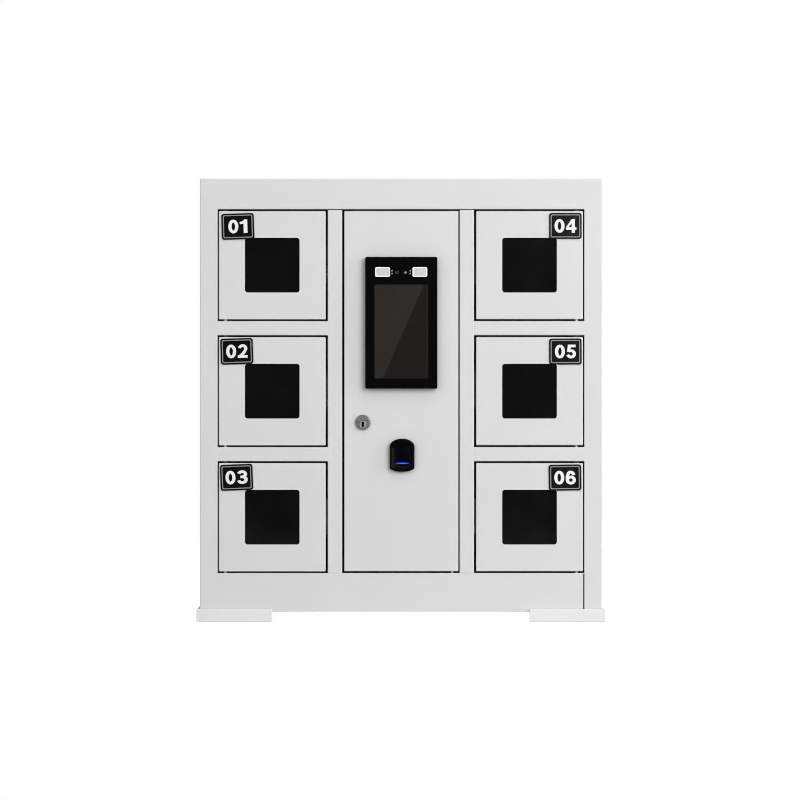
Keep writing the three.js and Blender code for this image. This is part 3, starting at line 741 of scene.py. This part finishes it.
def locker_door(number):
    """A door with its pane, its plate, the clips behind the pane, and the pads that it closes on."""
    door, window = "door_" + number, "window_" + number
    body = NODE_BODY[door]
    refined(door, PAINT, fold=FOLD_R)
    refined(window, SMOKE, edge=0.4 * MM, segments=2)
    number_plate(number)

    low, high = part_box(window)
    inset = 14 * MM
    bm = bmesh.new()
    for x, z in near_corners(low, high, 0, inset):
        slab(bm, x, z, 8 * MM, 6 * MM, high.y, high.y + 1 * MM, 0.3 * MM)
    piece(door + "_pane_clips", bm, ZINC, body, "zinc_steel")

    low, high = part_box(door)
    on_left = number in LEFT_NUMBERS
    x = high.x - 9 * MM if on_left else low.x + 9 * MM
    bm = bmesh.new()
    for z in (low.z + inset, high.z - inset):
        lathe(bm, disc(4 * MM, 2 * MM, 0.6 * MM), (x, FRONT + SHEET, z), (0, 1, 0), 24)
    piece(door + "_pads", bm, RUBBER, body, "rubber_pad")
    bush(door, "hinge_rod_left" if on_left else "hinge_rod_right")


# ---- Service door ----

def rear_box_screws(node, radius, body):
    """Screws near the corners of a box's back."""
    low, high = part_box(node)
    places = [(x, high.y, z) for x, z in near_corners(low, high, 7 * MM, 14 * MM)]
    screw_heads(node + "_screws", places, (0, 1, 0), radius, body)


def terminal():
    """The terminal: a glass front with holes for its display, its two fill lights, its camera lenses
    and its infrared lamps, over a box with cooling ribs."""
    body = "service"
    low, high, middle = span("terminal_glass")
    front, back = low.y, high.y
    play = 0.15 * MM

    refined("terminal_housing", BLACK, edge=0.7 * MM, segments=3)
    screen_low, screen_high, screen = span("terminal_display")
    screen += Vector((0.2 * MM, 0, -0.4 * MM))
    lap = 2 * MM                # how far the glass covers the display's edges
    wide = screen_high.x - screen_low.x - 2 * lap - 0.4 * MM
    tall = screen_high.z - screen_low.z - 2 * lap - 0.8 * MM
    lamp_wide, lamp_tall, lamp_r, rim = 18.4 * MM, 12.2 * MM, 1.9 * MM, 1.4 * MM
    lamp_z = high.z - 18.7 * MM
    lamps = [middle.x - 23.2 * MM, middle.x + 23.0 * MM]
    # name, place from the middle and radius of each lens, and places of the infrared lamps, in millimetres
    lenses = [("camera", 5.3, 62.5, 1.25), ("infrared_camera", -5.0, 62.9, 1.4)]
    specks = [(x, z) for x in (-11.5, 11.0) for z in (64.6, 61.2)]
    ring, speck = 0.7 * MM, 0.9 * MM

    holes = [rounded(screen.x, screen.z, wide, tall, 0.8 * MM)]
    holes += [rounded(x, lamp_z, lamp_wide, lamp_tall, lamp_r) for x in lamps]
    holes += [circle(middle.x + x * MM, middle.z + z * MM, r * MM + ring) for _, x, z, r in lenses]
    holes += [circle(middle.x + x * MM, middle.z + z * MM, speck + 0.05 * MM, 20) for x, z in specks]
    outline = rounded(middle.x, middle.z, high.x - low.x, high.z - low.z, 1.8 * MM)
    bm = flat([outline], holes, front, back, 0.35 * MM, 3)
    piece("terminal_cover", bm, GLASS, body, "terminal_glass", "terminal_glass")

    outline = rounded(screen.x, screen.z, wide - play, tall - play, 0.7 * MM)
    bm = flat([outline], [], front + 0.12 * MM, screen_low.y, 0.08 * MM)
    block(bm, screen_low, screen_high, 0.4 * MM)
    piece("display_panel", bm, display_with_painted_reflection(screen), body, "screen", "terminal_display")

    diffuser = lamp_diffuser()
    lens_wide, lens_tall, lens_r = lamp_wide - 2 * rim, lamp_tall - 2 * rim, lamp_r - 0.7 * MM
    for word, x in zip(("left", "right"), lamps):
        outline = rounded(x, lamp_z, lamp_wide - play, lamp_tall - play, lamp_r)
        window = rounded(x, lamp_z, lens_wide, lens_tall, lens_r)
        bm = flat([outline], [window], front + 0.1 * MM, back, 0.2 * MM)
        piece(f"fill_light_{word}_rim", bm, RIM_WHITE, body, "lamp_white")
        outline = rounded(x, lamp_z, lens_wide - play, lens_tall - play, lens_r)
        bm = flat([outline], [], front + 0.3 * MM, back, 0.2 * MM)
        piece(f"fill_light_{word}_lens", bm, diffuser, body, "lamp_white")

    rear = -1 * MM              # how far the lenses and the lamps go back
    for word, x, z, r in lenses:
        place = (middle.x + x * MM, front + 0.45 * MM, middle.z + z * MM)
        outer, lens = r * MM + 0.65 * MM, r * MM
        bm = bmesh.new()
        lathe(bm, [(lens, rear), (outer, rear), (outer, 0.3 * MM), (lens, 0.15 * MM)], place, steps=32)
        piece(word + "_ring", bm, BLACK, body, "black_plastic")
        bm = bmesh.new()
        lathe(bm, dome(lens, rear, 0.12 * MM, 0.2 * MM), place)
        # the camera lens is pale grey, a painted highlight where its dome would reflect the lights
        piece(word + "_lens", bm, PALE_GREY_AND_PAINTED_HIGHLIGHT if word == "camera" else GLASS, body, "terminal_glass")
    bm = bmesh.new()
    for x, z in specks:
        place = (middle.x + x * MM, front + 0.35 * MM, middle.z + z * MM)
        lathe(bm, dome(speck, rear, 0.15 * MM, 0.22 * MM), place, steps=20)
    piece("infrared_lamps", bm, PALE_GREY_AND_PAINTED_HIGHLIGHT, body, "lamp_white")

    rear_box_screws("terminal_housing", 2.6 * MM, body)
    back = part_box("terminal_housing")[1].y
    ribs, pitch, thick = 7, 5 * MM, 2 * MM
    bm = bmesh.new()
    for i in range(ribs):
        z = middle.z + 41 * MM - i * pitch
        slab(bm, middle.x, z, 52 * MM, thick, back - 0.3 * MM, back + 0.5 * MM, 0.2 * MM)
    piece("terminal_cooling_ribs", bm, BLACK, body, "black_plastic")


def dome(radius, rear, shoulder, crown):
    """The profile of a lens or lamp: a cylinder under a shallow dome."""
    return [(0, rear), (radius, rear), (radius, 0), (radius * 0.7, shoulder), (0, crown)]


def reader_ring(middle, half, top, scale, y=0.0):
    """A closed ring of the reader's outline, scaled about its middle. It is waisted, with a high
    round crown and a shallow chin."""
    crown, chin, steps = 10 * MM, 5.5 * MM, 32
    points = []
    for i in range(2 * steps):
        a = math.pi * i / steps
        up = crown if a < math.pi else chin
        centre = top - crown if a < math.pi else -top + chin
        x, z = half * math.cos(a), centre + up * math.sin(a)
        waist = 1 - 0.03 * math.exp(-((z + 2 * MM) / (7 * MM)) ** 2)
        points.append(Vector((middle.x + x * waist * scale, y, middle.z + z * scale)))
    return points


# the reader's section: the outline's scale, and how far behind the front in millimetres
READER_SECTION = [(1.0, 2.2), (0.992, 1.4), (0.972, 0.7), (0.94, 0.22), (0.90, 0), (0.855, 0.12), (0.80, 0.6),
                  (0.72, 1.6), (0.65, 2.35), (0.59, 2.7), (0.56, 2.75), (0.56, 4)]


def fingerprint_reader():
    """A domed housing, scooped towards its sensor, with a blue light bar under the finger."""
    body = "service"
    low, high, middle = span("fingerprint_housing")
    half, top = (high.x - low.x) / 2, (high.z - low.z) / 2
    front = low.y
    stations = [(1.0, FRONT - 0.3 * MM)] + [(scale, front + depth * MM) for scale, depth in READER_SECTION]
    bm = bmesh.new()
    loft(bm, [reader_ring(middle, half, top, scale, y) for scale, y in stations])
    slab(bm, middle.x, middle.z, 23 * MM, 30 * MM, FRONT - 0.8 * MM, high.y, 0.8 * MM)
    piece("reader_shell", bm, READER_BLACK, body, "black_plastic", "fingerprint_housing", smooth=50)

    outline = [(p.x, p.z) for p in reader_ring(middle, half, top, 0.548)]
    sensor_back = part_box("fingerprint_window")[1].y
    bm = flat([outline], [], front + 2.75 * MM, sensor_back, 0.3 * MM)
    piece("sensor_window", bm, SENSOR, body, "sensor_glass", "fingerprint_window")
    x, z = middle.x + 0.3 * MM, middle.z - 10.1 * MM
    wide, tall = 15.6 * MM, 1.5 * MM
    bm = flat([rounded(x, z, wide, tall, 0.7 * MM)], [], front + 2.3 * MM, front + 3.2 * MM, 0.3 * MM)
    piece("sensor_light_bar", bm, blue_glow(x, 7.5 * MM), body, "sensor_light")


def cam_lock():
    """A stepped flange with the plug set low in it, a threaded barrel and nut, and the cam, with black pieces
    in and round the keyway as its painted shade.
    """
    low, high, middle = span("cam_lock_body")
    plug_low, plug_high, plug = span("cam_lock_plug")
    face_r = (high.x - low.x) / 2
    front, seat = low.y, FRONT - 0.3 * MM
    tall = seat - front

    outer = circle(middle.x, middle.z, face_r, 64)
    step = circle(middle.x, middle.z, face_r * 0.86, 64)
    bore = circle(plug.x, plug.z, (plug_high.x - plug_low.x) / 2 + 0.25 * MM, 40)
    bm = flat([outer], [bore], front + 0.25 * tall, seat, 0.9 * MM, 4)
    flat([step], [bore], front, front + 0.3 * tall, 0.3 * MM, 2, bm)
    piece("cam_lock_flange", bm, CHROME, "service", "chrome_trim", "cam_lock_body", smooth=50)

    barrel, thread, pitch, hollow = 8.1 * MM, 0.5 * MM, 1.2 * MM, 5.4 * MM
    length = high.y - FRONT
    profile = [(barrel - 0.6 * MM, 0)]
    for i in range(int(length / pitch)):
        profile += [(barrel, (i + 0.3) * pitch), (barrel - thread, (i + 0.8) * pitch)]
    profile += [(barrel - 0.8 * MM, length), (hollow, length), (hollow, 0)]
    bm = bmesh.new()
    lathe(bm, profile, (middle.x, FRONT, middle.z), (0, 1, 0), 48)
    piece("cam_lock_barrel", bm, CHROME, "service", "chrome_trim")
    hexagon = circle(middle.x, middle.z, 12.5 * MM, 6)
    hole = circle(middle.x, middle.z, barrel + 0.1 * MM)
    inner_face = FRONT + SHEET
    bm = flat([hexagon], [hole], inner_face, inner_face + 3.2 * MM, 0.4 * MM)
    piece("cam_lock_nut", bm, ZINC, "service", "zinc_steel")

    refined("cam_lock_plug", BRIGHT, edge=0.3 * MM, segments=2)
    refined("cam_lock_cam", ZINC, edge=0.4 * MM, segments=2)
    slot_wide, slot_tall = 1.76 * MM, 5.36 * MM
    face = plug_low.y
    # a black block inside the keyway: painted shade where the slot goes dark
    bm = bmesh.new()
    slab(bm, plug.x, plug.z, slot_wide, slot_tall, face + 0.35 * MM, face + 2.35 * MM, 0.1 * MM)
    piece("cam_lock_keyway_painted_shade", bm, READER_BLACK, "cam", "black_plastic")
    # a black ring round the keyhole: painted shadow of the keyway
    painted_shadow_ring = rounded(plug.x, plug.z, 2.9 * MM, 6.6 * MM, 1.1 * MM)
    keyhole = rounded(plug.x, plug.z, slot_wide, slot_tall, 0.2 * MM)
    bm = flat([painted_shadow_ring], [keyhole], face - 0.08 * MM, face + 0.1 * MM, 0.05 * MM)
    piece("cam_lock_keyway_painted_shadow", bm, READER_BLACK, "cam", "black_plastic")
    cam_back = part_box("cam_lock_cam")[1].y
    bm = bmesh.new()
    bolt = [(0, 0), (4.2 * MM, 0), (4.2 * MM, 1.4 * MM), (3.4 * MM, 2.2 * MM), (0, 2.4 * MM)]
    lathe(bm, bolt, (plug.x, cam_back, plug.z), (0, 1, 0), 6)
    piece("cam_lock_cam_bolt", bm, ZINC, "cam", "zinc_steel")


def service_door():
    refined("service_door", PAINT, fold=FOLD_R)
    bush("service_door", "hinge_rod_service")
    terminal()
    fingerprint_reader()
    cam_lock()


# ---- Electric locks ----

def electric_lock(number):
    """A lock's case and hook, the screws that hold the case, and its plug behind."""
    case, hook = "lock_body_" + number, "lock_hook_" + number
    refined(case, ZINC, edge=0.5 * MM, segments=2)
    refined(hook, ZINC, edge=0.3 * MM, segments=2)
    low, high, middle = span(case)
    inward = -1 if number in LEFT_NUMBERS else 1
    face = low.x if inward < 0 else high.x
    inset, near, far = 5 * MM, 6 * MM, 32 * MM
    places = [(face, low.y + far, low.z + inset), (face, low.y + far, high.z - inset),
              (face, low.y + near, low.z + inset)]
    screw_heads(case + "_screws", places, (inward, 0, 0), 2.2 * MM, "cabinet")
    bm = bmesh.new()
    x = face - inward * 8 * MM
    slab(bm, x, middle.z, 10 * MM, 12 * MM, high.y - 0.5 * MM, high.y + 6 * MM, 0.4 * MM)
    piece(case + "_connector", bm, OUTLET, "cabinet", "outlet_white")


# ---- Charging and electronics ----

def charging_strips():
    """White trunking with an outlet for each locker: a bezel, a metal shell and a tongue."""
    shell = [(13.4 * MM, 6.2 * MM, 0.7 * MM), (12.4 * MM, 5.2 * MM, 0.4 * MM)]      # outside, inside
    bezel = [(22 * MM, 14 * MM, 2.4 * MM), (15.2 * MM, 8.2 * MM, 0.8 * MM)]
    screw_gap = 24 * MM
    for word, numbers in (("left", LEFT_NUMBERS), ("right", RIGHT_NUMBERS)):
        node = "charging_strip_" + word
        refined(node, OUTLET, edge=0.8 * MM, segments=2)
        low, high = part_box(node)
        x, front = (low.x + high.x) / 2, low.y
        shells, tongues, bezels, caps = bmesh.new(), bmesh.new(), bmesh.new(), []
        for number in numbers:
            z = middle_of("door_" + number).z
            outer, inner = (rounded(x, z, *size) for size in shell)
            flat([outer], [inner], front + 0.3 * MM, front + 8.6 * MM, bm=shells)
            slab(tongues, x, z + 1.1 * MM, 11.2 * MM, 1.8 * MM, front + 1.2 * MM, front + 8.8 * MM, 0.2 * MM)
            outer, inner = (rounded(x, z, *size) for size in bezel)
            flat([outer], [inner], front - 1.2 * MM, front + 0.1 * MM, 0.5 * MM, 3, bezels)
            caps += [(x, front, z + screw_gap), (x, front, z - screw_gap)]
        piece(f"outlet_shells_{word}", shells, BRIGHT, "cabinet", "zinc_steel")
        piece(f"outlet_tongues_{word}", tongues, CHIP, "cabinet", "component_black")
        piece(f"outlet_bezels_{word}", bezels, OUTLET, "cabinet", "outlet_white")
        screw_heads(f"charging_strip_{word}_screws", caps, (0, -1, 0), 2.6 * MM, "cabinet")


def power_supply():
    """A case with a slotted cover and a row of screw terminals."""
    low, high, middle = span("power_supply")
    wide = high.x - low.x
    wall, lid = 1.2 * MM, 0.6 * MM
    cover_low = low.z + 26 * MM
    slots = []
    for row in range(14):
        z = cover_low + 14 * MM + row * 11 * MM
        for column in (-1, 0, 1):
            slots.append(rounded(middle.x + column * 28 * MM, z, 23 * MM, 4.4 * MM, 2.1 * MM, 4))
    outline = rounded(middle.x, (cover_low + high.z) / 2, wide, high.z - cover_low, 1.2 * MM)
    bm = flat([outline], slots, low.y, low.y + wall, 0.3 * MM)
    for x in (low.x, high.x - wall):
        block(bm, (x, low.y + lid, low.z), (x + wall, high.y, high.z), 0.2 * MM)
    block(bm, (low.x, high.y - 1.5 * MM, low.z), (high.x, high.y, high.z), 0.2 * MM)
    block(bm, (low.x, low.y + lid, high.z - wall), (high.x, high.y, high.z), 0.2 * MM)
    piece("power_supply_case", bm, ALUMINIUM, "cabinet", "aluminium_case", "power_supply")

    bm = bmesh.new()
    block(bm, (low.x + 3 * MM, low.y + 6 * MM, cover_low + 4 * MM),
          (high.x - 3 * MM, high.y - 2 * MM, high.z - 3 * MM), 1 * MM)
    piece("power_supply_parts", bm, CHIP, "cabinet", "component_black")

    count, margin, row_z, row_tall = 9, 6 * MM, low.z + 12 * MM, 16 * MM
    face = low.y + 12 * MM
    pitch = (wide - 2 * margin) / count
    bm = bmesh.new()
    slab(bm, middle.x, row_z, wide - 8 * MM, row_tall, face, high.y - 6 * MM, 0.6 * MM)
    for i in range(count + 1):
        x = low.x + margin + i * pitch
        slab(bm, x, row_z, 1.6 * MM, row_tall, low.y + 5 * MM, face + 0.5 * MM, 0.3 * MM)
    piece("power_supply_terminals", bm, CHIP, "cabinet", "component_black")
    places = [(low.x + margin + (i + 0.5) * pitch, face, row_z) for i in range(count)]
    screw_heads("power_supply_terminal_screws", places, (0, -1, 0), 3.1 * MM, "cabinet",
                BRASS, "brass_contact")


def control_board():
    """The board that drives the locks: chips, relays, capacitors and plugs, on brass pillars.
    Places on the board are in millimetres from its middle."""
    refined("control_board", BOARD, edge=0.2 * MM)
    low, high, middle = span("control_board")
    front = low.y
    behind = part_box("back_panel")[0].y - high.y
    pillar, fixings = 2.9 * MM, near_corners(low, high, 5 * MM, 5 * MM)

    bm = bmesh.new()
    for x, z in fixings:
        lathe(bm, [(0, 0), (pillar, 0), (pillar, behind), (0, behind)], (x, high.y, z), (0, 1, 0), 6)
    piece("board_pillars", bm, BRASS, "cabinet", "brass_contact", smooth=20)
    screw_heads("board_screws", [(x, front, z) for x, z in fixings], (0, -1, 0), 2.8 * MM, "cabinet")

    def boxes(name, material, slot, places, size, edge=0.3 * MM):
        bm = bmesh.new()
        width, deep, tall = (value * MM for value in size)
        for x, z in places:
            slab(bm, middle.x + x * MM, middle.z + z * MM, width, tall, front - deep, front, edge)
        piece(name, bm, material, "cabinet", slot)

    rows = [-50, -30, -10, 10, 30, 50]
    chips = [(12, 38), (12, 8), (34, 38)]
    small = [(2, -22), (2, -34), (2, -46), (32, 14), (32, 0)]
    plugs = [(-49, z) for z in rows] + [(49, z) for z in rows[2:]]
    boxes("board_relays", RELAY, "component_black", [(-26, z) for z in rows], (19, 15, 15), 0.5 * MM)
    boxes("board_plugs", OUTLET, "outlet_white", plugs, (7, 8, 12))
    boxes("board_chips", CHIP, "component_black", chips, (16, 1.8, 16))
    boxes("board_small_chips", CHIP, "component_black", small, (7, 1.5, 5), 0.2 * MM)
    ends = [(x, -71) for x in range(-30, 31, 10)]
    boxes("board_terminals", TERMINALS, "circuit_board", ends, (9.6, 11, 10))

    reach, count, pitch, long, thin = 8.8, 12, 1.15, 1.6, 0.5
    pins = []
    for x, z in chips:
        for i in range(count):
            off = (i - (count - 1) / 2) * pitch
            pins += [(x + reach, z + off, long, thin), (x - reach, z + off, long, thin),
                     (x + off, z + reach, thin, long), (x + off, z - reach, thin, long)]
    bm = bmesh.new()
    for x, z, wide, tall in pins:
        slab(bm, middle.x + x * MM, middle.z + z * MM, wide * MM, tall * MM, front - 0.5 * MM, front)
    piece("board_chip_pins", bm, BRIGHT, "cabinet", "zinc_steel")

    bm, tops = bmesh.new(), bmesh.new()
    for x, z, r, tall in ((22, -40, 5, 13), (36, -40, 5, 13), (22, -54, 4, 11), (36, -22, 4, 11)):
        place = (middle.x + x * MM, front, middle.z + z * MM)
        r, tall = r * MM, tall * MM
        lathe(bm, [(0, 0), (r, 0), (r, 1.6 * MM), (r * 0.93, 2.2 * MM), (r, 2.8 * MM), (r, tall - 0.6 * MM),
                   (r * 0.9, tall), (0, tall)], place, steps=32)
        under, over, cap = tall - 0.2 * MM, tall + 0.08 * MM, r * 0.86
        lathe(tops, [(0, under), (cap, under), (cap, over), (0, over)], place, steps=32)
    piece("board_capacitors", bm, CHIP, "cabinet", "component_black")
    piece("board_capacitor_tops", tops, ALUMINIUM, "cabinet", "aluminium_case")


def power_inlet():
    """A mains inlet with three pins, and a rocker switch above it, in a pocket."""
    low, high, middle = span("power_inlet")
    back = high.y
    pins = bmesh.new()
    start, end = back - 15.5 * MM, back - 3 * MM
    for x, z in ((-7, -14.5), (0, -10.4), (7, -14.5)):
        slab(pins, middle.x + x * MM, middle.z + z * MM, 2 * MM, 4 * MM, start, end, 0.5 * MM)
    piece("inlet_pins", pins, BRASS, "cabinet", "brass_contact")
    z = middle.z + 14 * MM
    half, tall, play = 9.6 * MM, 6.6 * MM, 0.4 * MM      # half the rocker's width and height
    pocket = bmesh.new()
    slab(pocket, middle.x, z, 2 * (half + play), 2 * (tall + play), back - 5 * MM, back + 1 * MM)
    carve(refined("power_inlet", BLACK, edge=0.35 * MM, segments=2), pocket)
    # the rocker's section: across, and how far in from the back in millimetres
    section = [(-half, 0.4), (-half * 0.15, 2.0), (half, 4.2), (half, 5.2), (-half, 5.2)]
    bm = bmesh.new()
    loft(bm, [[(middle.x + x, back - y * MM, end) for x, y in section] for end in (z - tall, z + tall)])
    bevel(bm, list(bm.edges), 0.35 * MM, 2)
    piece("rocker_switch", bm, SWITCH_RED, "cabinet", "component_black")


# ---- Studio ----

def soft_light(name, place, aim, size, power):
    data = bpy.data.lights.new(name, "AREA")
    data.shape = "RECTANGLE"
    data.size, data.size_y = size
    data.energy = power
    made = bpy.data.objects.new(name, data)
    made.location = place
    made.rotation_euler = (Vector(aim) - Vector(place)).to_track_quat("-Z", "Y").to_euler()
    made.visible_camera = False
    bpy.context.scene.collection.objects.link(made)


def floor_white():
    """A matt floor under plenty of light: it reads as white, with faint soft shadows."""
    tree = Tree("floor_white", (0.5, 0.5, 0.5), 0.9).mottle(2, 0.004)
    plain = tree.surface.outputs[0]
    bright = tree.add("Emission", Strength=0.97).outputs[0]
    both, mix = tree.add("AddShader"), tree.add("MixShader")
    tree.set(both, {0: bright, 1: plain})
    tree.set(mix, {0: tree.add("LightPath").outputs["Is Camera Ray"], 1: plain, 2: both.outputs[0]})
    tree.links.new(mix.outputs[0], tree.nodes["Material Output"].inputs["Surface"])
    return tree.material


def studio():
    """A white room with a round floor, seen as white, and soft lights on every side."""
    scene = bpy.context.scene
    scene.view_settings.view_transform = "Standard"
    scene.cycles.filter_width = 1.0
    world = bpy.data.worlds.new("studio")
    scene.world = world
    world.use_nodes = True
    nodes, links = world.node_tree.nodes, world.node_tree.links
    room = nodes["Background"]
    backdrop = nodes.new("ShaderNodeBackground")
    for background in (room, backdrop):
        background.inputs["Color"].default_value = (1, 1, 1, 1)
    room.inputs["Strength"].default_value = 0.05
    seen = nodes.new("ShaderNodeLightPath")
    mix = nodes.new("ShaderNodeMixShader")
    links.new(seen.outputs["Is Camera Ray"], mix.inputs[0])
    links.new(room.outputs[0], mix.inputs[1])
    links.new(backdrop.outputs[0], mix.inputs[2])
    links.new(mix.outputs[0], nodes["World Output"].inputs["Surface"])

    bm = bmesh.new()
    bmesh.ops.create_circle(bm, cap_ends=True, radius=1.7, segments=96)
    mesh = bpy.data.meshes.new("floor")
    bm.to_mesh(mesh)
    bm.free()
    floor = bpy.data.objects.new("floor", mesh)
    floor.location = (0, 0.15, 0)
    mesh.materials.append(floor_white())
    scene.collection.objects.link(floor)

    # each light's place, what it aims at, its size in metres, and its power in watts
    soft_light("key", (1.5, -2.6, 1.3), (0, 0, 0.35), (2.0, 2.0), 58)
    soft_light("fill", (-2.2, -2.4, 1.1), (0, 0, 0.28), (2.4, 2.4), 28)
    soft_light("top", (0.2, -1.1, 2.3), (0, 0, 0.2), (2.2, 0.6), 13)
    soft_light("side", (2.4, -0.85, 0.8), (0, 0, 0.3), (0.6, 1.6), 18)
    soft_light("rear", (0.6, 2.6, 1.6), (0, 0, 0.28), (2.4, 1.6), 42)
    # light that a white table throws up under the kiosk
    soft_light("table", (0, 0, 0.5 * MM), (0, 0, 1), (0.3, 0.19), 0.36)


def camera():
    """A long lens, square on to the front."""
    # how much the picture spans at the front, and where its middle is
    view_width, right, up = 0.995, -1.1 * MM, 275.8 * MM
    data = bpy.data.cameras.new("camera")
    data.lens = 120
    data.sensor_width = 36
    made = bpy.data.objects.new("camera", data)
    distance = view_width * data.lens / data.sensor_width
    made.location = (right, FRONT - distance, up)
    made.rotation_euler = (math.pi / 2, 0, 0)
    bpy.context.scene.collection.objects.link(made)
    bpy.context.scene.camera = made


camera()
studio()
cabinet_panels()
back_fasteners()
hinge_rods()
service_door()
charging_strips()
power_supply()
control_board()
power_inlet()
for number in NUMBERS:
    locker_door(number)
    electric_lock(number)
